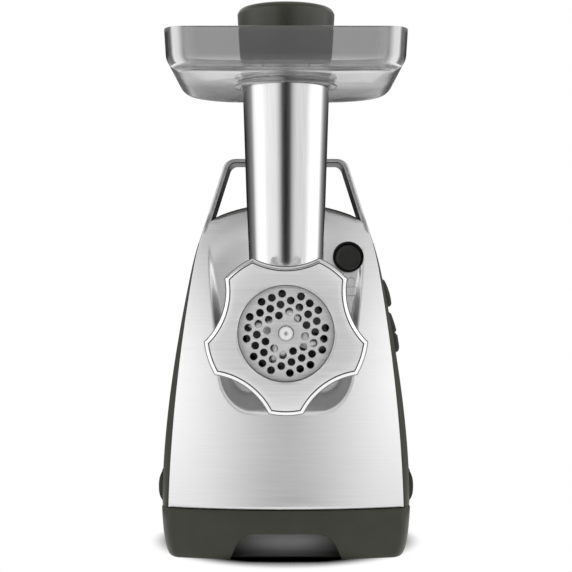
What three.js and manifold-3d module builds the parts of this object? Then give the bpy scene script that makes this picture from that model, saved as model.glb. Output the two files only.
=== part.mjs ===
// An electric meat grinder with its feed tray, pusher, grinding head, gear train and motor.
// Millimetres, +X right, +Y back, +Z up. The origin is on the floor under the middle of the whole.
import * as THREE from "three";
import { mergeVertices } from "three/addons/utils/BufferGeometryUtils.js";
import Module from "manifold-3d";

const wasm = await Module();
wasm.setup();

// ---- Driving dimensions ----
const GAP = 0.3; // left between pieces that touch
const FAR = 400; // reaches past the whole machine
const AXIS_Z = 156; // height of the grinding head's axis

// The leaning steel panel: half-width and front face as smooth functions of height.
const PANEL = {
  bottom: 35.2, apex: 242.5, arch: 131, foot: 79.5, taper: 0.00193, power: 1.75, taperFrom: 30,
  toe: -51, lean: 0.129, curl: 0.00061, bulge: 14, bulgeAt: 80, skin: 2.2,
};
// The plastic shell behind it.
const SHELL = {
  bottom: 34.9, apex: 244.5, arch: 133, foot: 85.6, taper: 0.0063, power: 1.6, taperFrom: 50,
  back: 150, ridge: 60, backFrom: 100, wall: 2.8, flare: 32, middle: 40, squareness: 3.4,
};
const BASE = {
  bottom: 1.5, top: 34.6, toe: -52, back: 150, wall: 3, shoulder: 9, shoulderDepth: 22,
  archTop: 19.2, archTopHalf: 30, archFootHalf: 40.2, archCorner: 10, niche: 18,
};
// The skirt from its foot up: share of its height, half-width, front, and how far its sides bow back.
const BASE_LEVELS = [[0, 83, -49, 24], [0.145, 84.6, -51, 22], [0.52, 87.2, -52, 17], [1, 86.4, -52, 14]];
const FOOT = { x: 56, front: -16, rear: 114, radius: 9, sole: 7.5, height: 4.7 };
const BOTTOM_PLATE = { low: 5, high: 8, front: -30, slotFrom: 60, slotTo: 100, slotPitch: 11, slots: 7 };
const VENTS = { rows: 6, first: 62, pitch: 9, height: 4, half: 34 };
const SCREWS = [[-52, 66], [52, 66], [-44, 150], [44, 150]]; // x and z of the shell's screws
const SCREW = { head: 4.4, headDepth: 2.2, shank: 2.2, length: 13, stand: 3.9 };
const GLAND = { z: 47, outer: 10, waist: 6.6, front: 141, flange: 146.7, back: 155, inlet: 7.2 };
const RECESS = {
  floor: 110, half: 37, top: 203, topHalf: 53.6, radius: 15, back: -13, mouth: -60, draft: 0.33, floorDraft: 0.41,
};
const HANDLE = {
  foot: 196, footHalf: 67, top: 273.5, topHalf: 41.9, radius: 10, arm: 5.3, bar: 4.2, cutBelow: 222, front: 5.5,
  back: 45,
};

const KEY = { half: 1.6, low: 30.6, high: 32.8, front: -144.7, back: -140.2 };
const HEAD = { front: -144, rear: -14, outer: 34, bore: 26.8, rearWall: -30, seat: 31.3, seatDepth: 4.6 };
const LUG = { radius: 38.4, front: -18, halfAngle: 14, slotHalfAngle: 17, centre: 49, twist: 30 };
const NECK = { y: -95, top: 320, topRadius: 27.85, slope: 0.033, wall: 2 };
const RING = { front: -150, rear: -126, lobe: 49.8, lobeHalf: 12.4, valley: 40.5, scallop: 41.7, mouth: 28.8,
  lip: 4.6, bore: 34.6, chamfer: 2.6, lobes: 5 };
const PLATE = { radius: 31, thickness: 4.8, pitch: 6.67, hole: 2.3, centre: 4.6, turn: -8.3 };
const AUGER = { front: -133, rear: -31, root: 8.5, flight: 25.4, turns: 3.25, blade: 3.2, pin: 4.1, shank: 8 };
const SOCKET = { front: -25.5, outer: 42.5, lip: 35.2, channel: 39.4, lipDepth: 7 };
const HEX = 6.2; // corner radius of the hexagonal shank

const TRAY = {
  floor: 314.4, rim: 340, wall: 2.4, floorHalf: 67, rimHalf: 74, front: -149, back: 18, flare: 6,
  frontCorner: 12, rearCorner: 48, collar: 31.3, collarFoot: 310.5,
};
const PUSHER = {
  foot: 321.2, shoulder: 356.6, top: 360.4, apex: 362.4, footRadius: 28.4, topRadius: 30.9, stem: 20.6, stemFoot: 192,
  wall: 2,
};
const BUTTON = { x: 43.4, z: 204.8, radius: 8.9, capBack: -2, stem: 3, hole: 11, bezel: 10.7, bezelInner: 9.4 };
const REVERSE = { low: 169.6, high: 189.4, front: 8, back: 26, out: 3.2 };
const ROCKER = { low: 137.4, high: 166.2, front: 8, back: 26, out: 3.6 };
const SIDE_PAD = { low: 35.4, high: 57, front: -12, back: 62, outer: 88 };

const MOTOR = { z: 85, stator: 42, statorBore: 24.4, core: 23.2, shaft: 4, front: 80, back: 122 };
const PLATES = { front: 9, frontBack: 13, rear: 60, rearBack: 64 };
const SHAFT = 4; // radius of the gears' axles
const DRIVE = 9.5; // radius of the drive shaft
// Boxes, each as x, y and z from and to.
const REVERSE_SWITCH = [48, 60, 9, 25, 171, 187];
const POWER_SWITCH = [49, 62, 14.2, 34, 139.5, 162.5];
const CONTROL_BOARD = [-66, -64.4, 54, 104, 112, 154];
const BRUSH = [12, 28, 126, 132, -3, 3];
// Each stage: driving teeth, driven teeth, module, front and back of the driven gear.
const STAGES = [
  { pinion: 9, gear: 54, module: 1, front: 50, back: 57 },
  { pinion: 10, gear: 40, module: 1.5, front: 37.5, back: 47.5 },
  { pinion: 10, gear: 34, module: 2, front: 21, back: 35 },
];

// ---- Materials ----
const finish = (color, roughness, metalness) => new THREE.MeshStandardMaterial({ color, roughness, metalness });
const brushedSteel = finish(0xc8cacb, 0.35, 0.9);
const polishedSteel = finish(0xdcdddd, 0.18, 1);
const satinAluminium = finish(0xc4c5c4, 0.4, 0.85);
const darkPlastic = finish(0x42443c, 0.55, 0);
const blackPlastic = finish(0x24251f, 0.5, 0);
const rubber = finish(0x1f1f1e, 0.8, 0);
const gearPlastic = finish(0xe6e1d2, 0.5, 0);
const copper = finish(0xa8673d, 0.4, 0.9);
const castMetal = finish(0x8d9092, 0.5, 0.8);
const boardGreen = finish(0x2f5a3c, 0.6, 0);
const carbon = finish(0x2c2c2e, 0.7, 0.2);
const smokyClear = new THREE.MeshStandardMaterial({
  color: 0xb9b6b0, roughness: 0.08, metalness: 0, transparent: true, opacity: 0.45,
});

// ---- Solids: joining and cutting ----
function toSolid(geometry) {
  const bare = geometry.index ? geometry.toNonIndexed() : geometry.clone();
  const positions = new THREE.BufferGeometry();
  positions.setAttribute("position", bare.getAttribute("position"));
  const merged = mergeVertices(positions, 1e-4);
  const corners = [];
  const index = merged.index.array;
  for (let i = 0; i < index.length; i += 3) {
    const [a, b, c] = [index[i], index[i + 1], index[i + 2]];
    if (a !== b && b !== c && c !== a) corners.push(a, b, c);
  }
  const build = (triVerts) =>
    new wasm.Manifold(new wasm.Mesh({
      numProp: 3,
      vertProperties: merged.attributes.position.array,
      triVerts: new Uint32Array(triVerts),
    }));
  const solid = build(corners);
  return solid.volume() >= 0 ? solid : build(corners.reverse());
}

function toGeometry(solid) {
  const mesh = solid.getMesh();
  const geometry = new THREE.BufferGeometry();
  geometry.setAttribute("position", new THREE.BufferAttribute(new Float32Array(mesh.vertProperties), 3));
  geometry.setIndex(new THREE.BufferAttribute(new Uint32Array(mesh.triVerts), 1));
  geometry.computeVertexNormals();
  return geometry;
}

const tidy = (geometry) => toGeometry(toSolid(geometry)); // faces out, whatever way they were drawn
const join = (...parts) => toGeometry(parts.map(toSolid).reduce((whole, part) => whole.add(part)));
const cut = (body, ...tools) =>
  toGeometry(tools.map(toSolid).reduce((left, tool) => left.subtract(tool), toSolid(body)));
const common = (a, b) => toGeometry(toSolid(a).intersect(toSolid(b)));

// ---- Shapes ----
const circle = (radius, x = 0, y = 0, sides = 24) =>
  new THREE.Shape(Array.from({ length: sides }, (_, i) => {
    const turn = (i / sides) * 2 * Math.PI;
    return new THREE.Vector2(x + radius * Math.cos(turn), y + radius * Math.sin(turn));
  }));

// A closed outline through corners [x, y, radius], each corner rounded.
function rounded(corners) {
  const shape = new THREE.Shape();
  const points = corners.map(([x, y]) => new THREE.Vector2(x, y));
  corners.forEach(([, , radius], i) => {
    const corner = points[i];
    const before = points.at(i - 1).clone().sub(corner).setLength(radius).add(corner);
    const after = points[(i + 1) % points.length].clone().sub(corner).setLength(radius).add(corner);
    if (i === 0) shape.moveTo(before.x, before.y);
    else shape.lineTo(before.x, before.y);
    if (radius > 0) shape.quadraticCurveTo(corner.x, corner.y, after.x, after.y);
  });
  shape.closePath();
  return shape;
}

const block = (x0, x1, y0, y1, radius = 1) =>
  rounded([[x0, y0, radius], [x1, y0, radius], [x1, y1, radius], [x0, y1, radius]]);

const prism = (shape, depth, curveSegments = 4) =>
  new THREE.ExtrudeGeometry(shape, { depth, curveSegments, bevelEnabled: false });

// Outlines drawn as (x, z), (x, y) and (y, z), pushed through along the third direction.
const alongY = (shape, y0, y1, segments) =>
  prism(shape, y1 - y0, segments).rotateX(Math.PI / 2).translate(0, y1, 0);
const alongZ = (shape, z0, z1, segments) => prism(shape, z1 - z0, segments).translate(0, 0, z0);
const sideBasis = new THREE.Matrix4().makeBasis(
  new THREE.Vector3(0, 1, 0), new THREE.Vector3(0, 0, 1), new THREE.Vector3(1, 0, 0),
);
const alongX = (shape, x0, x1, segments) =>
  prism(shape, x1 - x0, segments).applyMatrix4(sideBasis).translate(x0, 0, 0);

// A solid of revolution about Y from (radius, y) points that start and end on the axis or on each other.
const turned = (profile, segments = 32) =>
  new THREE.LatheGeometry(profile.map(([r, y]) => new THREE.Vector2(r, y)), segments);
const rod = (radius, y0, y1, segments = 24) => turned([[0, y0], [radius, y0], [radius, y1], [0, y1]], segments);
const sleeve = (outer, inner, y0, y1, segments = 32) =>
  turned([[inner, y0], [outer, y0], [outer, y1], [inner, y1], [inner, y0]], segments);
const upright = (geometry) => geometry.rotateX(Math.PI / 2);

const boxSolid = (x0, x1, y0, y1, z0, z1) => alongZ(block(x0, x1, y0, y1, 0.5), z0, z1, 1);

// A closed skin over rings of points, with a flat cap on the first and the last.
function loft(rings) {
  const count = rings[0].length;
  const positions = rings.flat().flatMap((p) => [p.x, p.y, p.z]);
  const index = [];
  for (let ring = 0; ring < rings.length - 1; ring++) {
    for (let i = 0; i < count; i++) {
      const [a, b] = [ring * count + i, ring * count + ((i + 1) % count)];
      index.push(a, b, b + count, a, b + count, a + count);
    }
  }
  for (let i = 1; i < count - 1; i++) {
    const last = (rings.length - 1) * count;
    index.push(0, i + 1, i, last, last + i, last + i + 1);
  }
  const geometry = new THREE.BufferGeometry();
  geometry.setAttribute("position", new THREE.Float32BufferAttribute(positions, 3));
  geometry.setIndex(index);
  return geometry;
}

// ---- The housing's surfaces ----
const smoothLeast = (a, b) => 1 / Math.pow(Math.pow(a, -12) + Math.pow(b, -12), 1 / 12);
const archHalf = (z, part) => Math.sqrt(Math.max(0.01, part.arch ** 2 - (z - part.apex + part.arch) ** 2));
const sideHalf = (z, part) => part.foot - part.taper * Math.pow(Math.max(0, z - part.taperFrom), part.power);
const halfWidth = (z, part) =>
  z < part.apex - part.arch ? sideHalf(z, part) : smoothLeast(sideHalf(z, part), archHalf(z, part));

function panelFace(x, z) {
  const up = z - PANEL.bottom;
  return PANEL.toe + PANEL.lean * up + PANEL.curl * up * up + PANEL.bulge * (x / PANEL.bulgeAt) ** 2;
}

function shellBack(z) {
  const rise = Math.max(0, (z - SHELL.backFrom) / (SHELL.apex - SHELL.backFrom));
  return SHELL.ridge + (SHELL.back - SHELL.ridge) * Math.pow(Math.max(0, 1 - rise ** 2.4), 1 / 2.4);
}

const heights = (low, high, steps) =>
  Array.from({ length: steps + 1 }, (_, i) => low + (high - low) * Math.sin((i / steps) * Math.PI / 2));

// A slab that follows the panel's face: offsets are measured back from that face.
function faceSlab(front, back, grow = 0, top = PANEL.apex - 0.05, bottom = PANEL.bottom) {
  const across = 8;
  const rings = heights(bottom, top, 14).map((z) => {
    const half = halfWidth(z, PANEL) + grow;
    const xs = Array.from({ length: across + 1 }, (_, i) => half * (2 * i / across - 1));
    const frontRow = xs.map((x) => new THREE.Vector3(x, panelFace(x, z) + front, z));
    const backRow = xs.map((x) => new THREE.Vector3(x, panelFace(x, z) + back, z)).reverse();
    return [...frontRow, ...backRow];
  });
  return loft(rings);
}

// One level of the shell: along the panel's back, round the flared side, and round the back.
// Open moves the front row forward, so that a hollow cuts right through it.
function shellRing(z, inset, front, open) {
  const wide = Math.max(0.8, halfWidth(z, SHELL) - inset);
  const seam = Math.min(halfWidth(z, PANEL) - inset, wide - 0.2);
  const corner = panelFace(seam, z) + front;
  const back = shellBack(z) - inset;
  const right = [];
  for (let i = 1; i <= 4; i++) right.push([(seam * i) / 4, panelFace((seam * i) / 4, z) + front - open]);
  right.push([seam, corner]);
  const flareEnd = Math.min(corner + SHELL.flare, SHELL.middle);
  for (let i = 1; i <= 4; i++) {
    const turn = (i / 4) * (Math.PI / 2);
    right.push([seam + (wide - seam) * Math.sin(turn), corner + (flareEnd - corner) * (1 - Math.cos(turn))]);
  }
  for (let i = 1; i <= 6; i++) {
    const turn = (i / 7) * (Math.PI / 2);
    const along = Math.pow(Math.sin(turn), 2 / SHELL.squareness);
    const x = wide * Math.pow(Math.cos(turn), 2 / SHELL.squareness);
    right.push([x, SHELL.middle + (back - SHELL.middle) * along]);
  }
  const left = right.map(([x, y]) => [-x, y]).reverse();
  const ring = [[0, panelFace(0, z) + front - open], ...right, [0, back], ...left];
  return ring.map(([x, y]) => new THREE.Vector3(x, y, z));
}

const shellSolid = (inset, front, bottom, open = 0.1) =>
  loft(heights(bottom, SHELL.apex - inset - 0.06, 11).map((z) => shellRing(z, inset, front, open)));

// ---- Housing pieces ----
const recessShape = (side, below) => rounded([
  [-RECESS.half - side, RECESS.floor - below, RECESS.radius],
  [RECESS.half + side, RECESS.floor - below, RECESS.radius],
  [RECESS.topHalf + side, RECESS.top, 6],
  [-RECESS.topHalf - side, RECESS.top, 6],
]);

// A drafted pocket, smallest at its flat back wall. A skin makes the solid that wraps it.
function recessVoid(skin) {
  const back = RECESS.back + skin;
  const level = (y) => {
    const depth = RECESS.back - y;
    const outline = recessShape(RECESS.draft * depth + skin * 1.3, RECESS.floorDraft * depth + skin * 1.3);
    return outline.getPoints(4).slice(0, -1).map((p) => new THREE.Vector3(p.x, y, p.y));
  };
  return loft([RECESS.mouth, back].map(level));
}

function frontPanel() {
  const faces = common(recessVoid(PANEL.skin), faceSlab(0.6, 60, -1));
  const pressed = join(faceSlab(0, PANEL.skin), faces);
  const buttonHole = alongY(circle(BUTTON.hole + 0.2, BUTTON.x, BUTTON.z, 16), -60, 20);
  const driveHole = alongY(circle(14.4, 0, AXIS_Z, 12), -60, 20);
  const boltHole = alongY(circle(3.9, BOLT.x, BOLT.z, 8), -60, 20);
  return cut(pressed, recessVoid(0), buttonHole, driveHole, boltHole);
}

function carryHandle() {
  const { foot, footHalf, top, topHalf, radius, arm, bar } = HANDLE;
  const outline = (low, high, height, corner) =>
    rounded([[-low, foot, 0], [low, foot, 0], [high, height, corner], [-high, height, corner]]);
  const outer = outline(footHalf, topHalf, top, radius);
  const inner = outline(footHalf - arm, topHalf - arm, top - bar, radius - bar);
  const loop = cut(alongY(outer, HANDLE.front, HANDLE.back), alongY(inner, HANDLE.front - 1, HANDLE.back + 1),
    alongZ(block(-FAR, FAR, -FAR, FAR), 0, HANDLE.cutBelow));
  return cut(loop, shellSolid(-2 * GAP, 0, SHELL.bottom, 12), faceSlab(-2 * GAP, 5, 2 * GAP));
}

function rearShell() {
  const hollow = shellSolid(SHELL.wall, PANEL.skin + GAP, SHELL.bottom - 5, 12);
  const sideCut = (part, extra) =>
    alongX(block(part.front - extra, part.back + extra, part.low - extra, part.high + extra, 4), 50, FAR);
  const vents = Array.from({ length: VENTS.rows }, (_, row) => {
    const z = VENTS.first + row * VENTS.pitch;
    return alongY(block(-VENTS.half, VENTS.half, z, z + VENTS.height, 1.9), 130, FAR, 1);
  });
  const inlet = alongY(circle(GLAND.inlet, 0, GLAND.z, 16), 120, FAR);
  const screwHoles = SCREWS.map(([x, z]) => alongY(circle(SCREW.shank + 0.4, x, z, 8), 100, FAR));
  return cut(shellSolid(0, PANEL.skin + GAP, SHELL.bottom), hollow, sideCut(REVERSE, 0.6), sideCut(ROCKER, 1),
    inlet, ...vents, ...screwHoles);
}

function baseRing(z, half, toe, bulge, inset) {
  const right = [];
  const side = half - inset;
  const shoulder = side - BASE.shoulder;
  const face = (x) => toe + inset + bulge * (x / PANEL.bulgeAt) ** 2;
  for (let i = 1; i <= 5; i++) right.push([(shoulder * i) / 5, face((shoulder * i) / 5)]);
  for (let i = 1; i <= 4; i++) {
    const turn = (i / 4) * (Math.PI / 2);
    const y = face(shoulder) + BASE.shoulderDepth * (1 - Math.cos(turn));
    right.push([shoulder + BASE.shoulder * Math.sin(turn), y]);
  }
  for (let i = 1; i <= 6; i++) {
    const turn = (i / 7) * (Math.PI / 2);
    const along = Math.pow(Math.sin(turn), 2 / SHELL.squareness);
    right.push([side * Math.pow(Math.cos(turn), 2 / SHELL.squareness),
      SHELL.middle + (BASE.back - inset - SHELL.middle) * along]);
  }
  const left = right.map(([x, y]) => [-x, y]).reverse();
  const ring = [[0, toe + inset], ...right, [0, BASE.back - inset], ...left];
  return ring.map(([x, y]) => new THREE.Vector3(x, y, z));
}

const baseSolid = (inset, bottom, top) =>
  loft(BASE_LEVELS.map(([share, half, toe, bulge]) =>
    baseRing(bottom + share * (top - bottom), half, toe, bulge, inset)));

function baseSkirt() {
  const { archFootHalf, archTopHalf, archTop, archCorner } = BASE;
  const arch = (grow) => rounded([
    [-archFootHalf - grow, -5, 0],
    [archFootHalf + grow, -5, 0],
    [archTopHalf + grow, archTop + grow, archCorner],
    [-archTopHalf - grow, archTop + grow, archCorner],
  ]);
  const hollow = cut(baseSolid(0, BASE.bottom, BASE.top), baseSolid(BASE.wall, -5, BASE.top + 5));
  const nicheBack = BASE.toe + BASE.niche;
  const liner = common(alongY(arch(2), BASE.toe + 1, nicheBack + 2), baseSolid(1, BASE.bottom, BASE.top));
  return cut(join(hollow, liner), alongY(arch(0), -80, nicheBack));
}

function bottomPlate() {
  const { low, high, front, slotFrom, slotTo, slotPitch, slots } = BOTTOM_PLATE;
  const inside = baseSolid(BASE.wall + 0.8, -5, BASE.top + 5);
  const slab = common(inside, alongZ(block(-FAR, FAR, front, FAR), low, high));
  const cuts = Array.from({ length: slots }, (_, i) => {
    const x = (i - (slots - 1) / 2) * slotPitch;
    return alongZ(block(x - 2, x + 2, slotFrom, slotTo, 1.5), low - 1, high + 1, 1);
  });
  return cut(slab, ...cuts);
}

const rubberFoot = () => {
  const { radius, sole, height } = FOOT;
  return upright(turned([[0, 0], [sole, 0], [radius, 1.2], [radius, height], [0, height]], 16));
};

function sideGrip(side) {
  const { low, high, front, back, outer } = SIDE_PAD;
  const pad = alongX(block(front, back, low, high, 6), 80, outer);
  const solid = cut(pad, shellSolid(-GAP, 0, SHELL.bottom), baseSolid(-2 * GAP, BASE.bottom, BASE.top));
  return solid.scale(side, 1, 1);
}

// A screw that points forward, with the outside of its head at y = 0.
const shellScrew = () => {
  const { head, headDepth, shank, length } = SCREW;
  return turned([[0, 0], [head, 0], [head, -headDepth], [shank, -headDepth], [shank, -length], [0, -length]], 10);
};

const cableGland = () => {
  const { outer, waist, front, flange, back } = GLAND;
  const collar = back - 4.5;
  return turned([[0, front], [outer, front], [outer, flange], [waist, flange], [waist, collar], [outer - 1, collar],
    [outer - 2, back], [0, back]], 16);
};

// ---- Grinding head (drawn about its own axis) ----
const tubeRadius = (z) => NECK.topRadius - NECK.slope * (NECK.top - z);

function sector(inner, outer, centre, half, y0, y1) {
  const shape = new THREE.Shape();
  const [from, to] = [centre - half, centre + half].map(THREE.MathUtils.degToRad);
  shape.absarc(0, 0, outer, from, to, false);
  shape.absarc(0, 0, inner, to, from, true);
  return alongY(shape, y0, y1, 6);
}

function plateKey(grow) {
  const { half, front, back, low, high } = KEY;
  return boxSolid(-half - grow, half + grow, front - grow, back + grow, low - grow, high + grow);
}

function headBody() {
  const barrel = rod(HEAD.outer, HEAD.front, HEAD.rear, 32);
  const hub = rod(13, HEAD.rearWall, HEAD.rear, 24);
  const lugs = [0, 180].map((turn) =>
    sector(30, LUG.radius, LUG.centre + turn, LUG.halfAngle, LUG.front, HEAD.rear));
  const neckFoot = 10;
  const local = (z) => z - AXIS_Z;
  const cone = (wall, low, high) => upright(turned([[0, low], [tubeRadius(low + AXIS_Z) - wall, low],
    [tubeRadius(high + AXIS_Z) - wall, high], [0, high]], 32)).translate(0, NECK.y, 0);
  const bore = rod(HEAD.bore, HEAD.front - 1, HEAD.rearWall, 32);
  const seat = rod(HEAD.seat, HEAD.front - 1, HEAD.front + HEAD.seatDepth, 32);
  const rearHollow = sleeve(29, 13, HEAD.rearWall + 5, HEAD.rear + 1, 32);
  const shaft = rod(9, HEAD.rearWall - 1, HEAD.rear + 1, 24);
  const outside = join(barrel, hub, ...lugs, cone(0, neckFoot, local(NECK.top)));
  const neckBore = cone(NECK.wall, neckFoot, local(NECK.top) + 1);
  return cut(outside, bore, seat, rearHollow, shaft, plateKey(GAP), neckBore);
}

function plateHoles() {
  const holes = [];
  const reach = 4;
  for (let i = -reach; i <= reach; i++) {
    for (let j = -reach; j <= reach; j++) {
      const [x, y] = [i + j / 2, (j * Math.sqrt(3)) / 2];
      const away = Math.hypot(x, y);
      if (away > 1.5 && away < 3.7) holes.push(new THREE.Vector2(x, y).multiplyScalar(PLATE.pitch));
    }
  }
  const turn = THREE.MathUtils.degToRad(PLATE.turn + 30);
  return holes.map((hole) => hole.rotateAround(new THREE.Vector2(), turn));
}

function cuttingPlate() {
  const disc = circle(PLATE.radius, 0, 0, 32);
  const small = plateHoles().map((hole) => circle(PLATE.hole, hole.x, hole.y, 6));
  disc.holes = [circle(PLATE.centre, 0, 0, 16), ...small];
  const front = HEAD.front - 0.9;
  return cut(alongY(disc, front, front + PLATE.thickness), plateKey(GAP));
}

function screwRing() {
  const outline = new THREE.Shape();
  const step = (2 * Math.PI) / RING.lobes;
  const half = THREE.MathUtils.degToRad(RING.lobeHalf);
  const centre = RING.valley + RING.scallop;
  const edge = new THREE.Vector2(RING.lobe * Math.cos(half), RING.lobe * Math.sin(half));
  for (let lobe = 0; lobe < RING.lobes; lobe++) {
    const middle = -Math.PI / 2 + lobe * step;
    outline.absarc(0, 0, RING.lobe, middle - half, middle + half, false);
    const valley = middle + step / 2;
    const [cx, cy] = [centre * Math.cos(valley), centre * Math.sin(valley)];
    const from = edge.clone().rotateAround(new THREE.Vector2(), middle);
    const to = new THREE.Vector2(edge.x, -edge.y).rotateAround(new THREE.Vector2(), middle + step);
    const [start, end] = [from, to].map((point) => Math.atan2(point.y - cy, point.x - cx));
    outline.absarc(cx, cy, RING.scallop, start, end, true);
  }
  outline.holes = [circle(RING.mouth + RING.chamfer)];
  const { chamfer } = RING;
  const depth = RING.rear - RING.front - 2 * chamfer;
  const bevel = { bevelThickness: chamfer, bevelSize: chamfer, bevelOffset: -chamfer, bevelSegments: 1 };
  const body = new THREE.ExtrudeGeometry(outline, { depth, curveSegments: 4, ...bevel }).rotateX(Math.PI / 2)
    .translate(0, RING.rear - chamfer, 0);
  const mouth = rod(RING.mouth, RING.front - 1, RING.rear, 36);
  return cut(body, mouth, rod(RING.bore, RING.front + RING.lip, RING.rear + 1, 36));
}

// ---- Screw and knife ----
function auger() {
  const steps = 10;
  const rings = [];
  const count = Math.round(AUGER.turns * steps);
  const flightFront = AUGER.front + 3;
  const flightBack = AUGER.rear - 4;
  for (let i = 0; i <= count; i++) {
    const turn = (i / steps) * 2 * Math.PI;
    const y = flightFront + ((flightBack - flightFront) * i) / count;
    const [across, up] = [Math.cos(turn), Math.sin(turn)];
    const at = (radius, offset) => new THREE.Vector3(radius * across, y + offset, radius * up);
    rings.push([at(4, -3), at(AUGER.flight, -AUGER.blade / 2), at(AUGER.flight, AUGER.blade / 2), at(4, 3)]);
  }
  const core = turned([[0, -147.5], [AUGER.pin, -147.5], [AUGER.pin, AUGER.front], [AUGER.root, AUGER.front],
    [AUGER.root + 5, AUGER.rear - 6], [AUGER.root + 5, AUGER.rear], [AUGER.shank, AUGER.rear],
    [AUGER.shank, HEAD.rear + 0.5], [0, HEAD.rear + 0.5]], 24);
  const hex = turned([[0, HEAD.rear], [HEX, HEAD.rear], [HEX, 0], [0, 0]], 6);
  return join(core, hex, loft(rings));
}

function cuttingKnife() {
  const hub = circle(9.5, 0, 0, 16);
  const blades = [0, 1, 2, 3].map((i) => {
    const blade = rounded([[-3.2, 0, 0], [4.2, 0, 0], [3.4, 25.6, 2], [-1.2, 25.6, 1]]);
    return alongY(blade, -139, -134.6, 4).rotateY((i * Math.PI) / 2);
  });
  return cut(join(alongY(hub, -139, -134.6), ...blades), rod(AUGER.pin + GAP, -150, -120));
}

// ---- Head socket and lock ----
const lockAngle = Math.atan2(BUTTON.z - AXIS_Z, BUTTON.x);
const BOLT = { x: 36 * Math.cos(lockAngle), z: AXIS_Z + 36 * Math.sin(lockAngle), radius: 3 };

function headSocket() {
  const body = sleeve(SOCKET.outer, SOCKET.channel, SOCKET.front, RECESS.back - GAP, 32);
  const lip = sleeve(SOCKET.outer - 1, SOCKET.lip, SOCKET.front, SOCKET.front + SOCKET.lipDepth, 32);
  const slots = [0, 180].map((turn) =>
    sector(30, SOCKET.channel, LUG.centre - LUG.twist + turn, LUG.slotHalfAngle, -40, 0));
  const whole = cut(join(body, lip), ...slots);
  return common(whole, rod(SOCKET.outer, -60, 0, 32));
}

// Trims a piece that stands at the lock button, so that it ends a little behind the panel's face.
const trimmedToPanel = (piece, behind) =>
  cut(piece.translate(BUTTON.x, 0, BUTTON.z), faceSlab(-60, behind, 20, PANEL.apex - 2, 100));

function lockButton() {
  const { radius, capBack, stem } = BUTTON;
  const profile = [[0, -40], [radius, -40], [radius, capBack], [stem, capBack], [stem, -GAP], [0, -GAP]];
  return trimmedToPanel(turned(profile, 24), 0.4);
}

const lockBezel = () => trimmedToPanel(sleeve(BUTTON.bezel, BUTTON.bezelInner, -40, 0, 24), 2.5);

function lockBolt() {
  const corner = (end, x, z) => [end.x + x, end.z + z, 2];
  const web = rounded([corner(BOLT, -4, -4), corner(BOLT, 4, -4), corner(BUTTON, 4, -4), corner(BUTTON, 4, 4),
    corner(BUTTON, -4, 4), corner(BOLT, -4, 4)]);
  const pin = rod(BOLT.radius, -13.6, 1, 16).translate(BOLT.x, 0, BOLT.z);
  return join(alongY(web, 0, 3.5), pin);
}

// ---- Tray and pusher ----
function trayRing(z, grow) {
  const rise = (z - TRAY.floor) / (TRAY.rim - TRAY.floor);
  const spread = Math.sin(Math.min(1, Math.max(0, rise)) * Math.PI / 2);
  const half = TRAY.floorHalf + (TRAY.rimHalf - TRAY.floorHalf) * spread + grow;
  const front = TRAY.front - TRAY.flare * spread - grow;
  const back = TRAY.back + TRAY.flare * spread + grow;
  const outline = rounded([[-half, front, TRAY.frontCorner], [half, front, TRAY.frontCorner],
    [half, back, TRAY.rearCorner], [-half, back, TRAY.rearCorner]]);
  return outline.getPoints(8).slice(0, -1).map((p) => new THREE.Vector3(p.x, p.y, z));
}

function hopperTray() {
  const levels = [0, 0.25, 0.6, 1].map((rise) => TRAY.floor + rise * (TRAY.rim - TRAY.floor));
  const outer = loft(levels.map((z) => trayRing(z, 0)));
  const innerLevels = [TRAY.floor + TRAY.wall, ...levels.slice(1, 3), TRAY.rim + 1];
  const inner = loft(innerLevels.map((z) => trayRing(z, -TRAY.wall)));
  const collar = upright(turned([[0, TRAY.collarFoot], [TRAY.collar + 0.8, TRAY.collarFoot],
    [TRAY.collar, TRAY.floor + 1], [0, TRAY.floor + 1]])).translate(0, NECK.y, 0);
  const tubeHole = upright(rod(NECK.topRadius + 0.5, 300, 330, 32)).translate(0, NECK.y, 0);
  return cut(join(cut(outer, inner), collar), tubeHole);
}

function foodPusher() {
  const { foot, shoulder, top, apex, footRadius, topRadius, stem, stemFoot, wall } = PUSHER;
  const profile = [[0, stemFoot + 40], [stem - wall, stemFoot + 40], [stem - wall, stemFoot], [stem, stemFoot],
    [stem, foot], [footRadius, foot], [topRadius, shoulder], [topRadius - 2.6, top], [14, apex - 0.5], [0, apex]];
  return upright(turned(profile, 24)).translate(0, NECK.y, 0);
}

// ---- Side controls ----
function sideControl(part, depth) {
  const { low, high, front, back, out } = part;
  const middle = (low + high) / 2;
  const proud = (z) => sideHalf(z, SHELL) + out;
  const face = rounded([[proud(low) - depth, low, 1], [proud(low), low, 3], [proud(middle) + 0.4, middle, 3],
    [proud(high), high, 3], [proud(high) - depth, high, 1]]);
  return common(alongY(face, front, back, 4), alongX(block(front, back, low, high, 4), 40, FAR));
}

const reverseButton = () => sideControl(REVERSE, 8);

function powerRocker() {
  const seamZ = (ROCKER.low + ROCKER.high) / 2;
  const groove = alongY(rounded([[77, seamZ, 0], [95, seamZ - 5, 0], [95, seamZ + 5, 0]]), 0, 60);
  return cut(sideControl(ROCKER, 9), groove);
}

// ---- Gear train ----
function gearShape(teeth, module) {
  const pitch = (module * teeth) / 2;
  const tip = pitch + 0.75 * module;
  const root = pitch - 1.05 * module;
  const step = (2 * Math.PI) / teeth;
  const corners = [];
  const put = (radius, angle) =>
    corners.push(new THREE.Vector2(radius * Math.cos(angle), radius * Math.sin(angle)));
  for (let tooth = 0; tooth < teeth; tooth++) {
    const middle = tooth * step;
    put(root, middle - 0.27 * step);
    put(tip, middle - 0.09 * step);
    put(tip, middle + 0.09 * step);
    put(root, middle + 0.27 * step);
  }
  return new THREE.Shape(corners);
}

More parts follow.
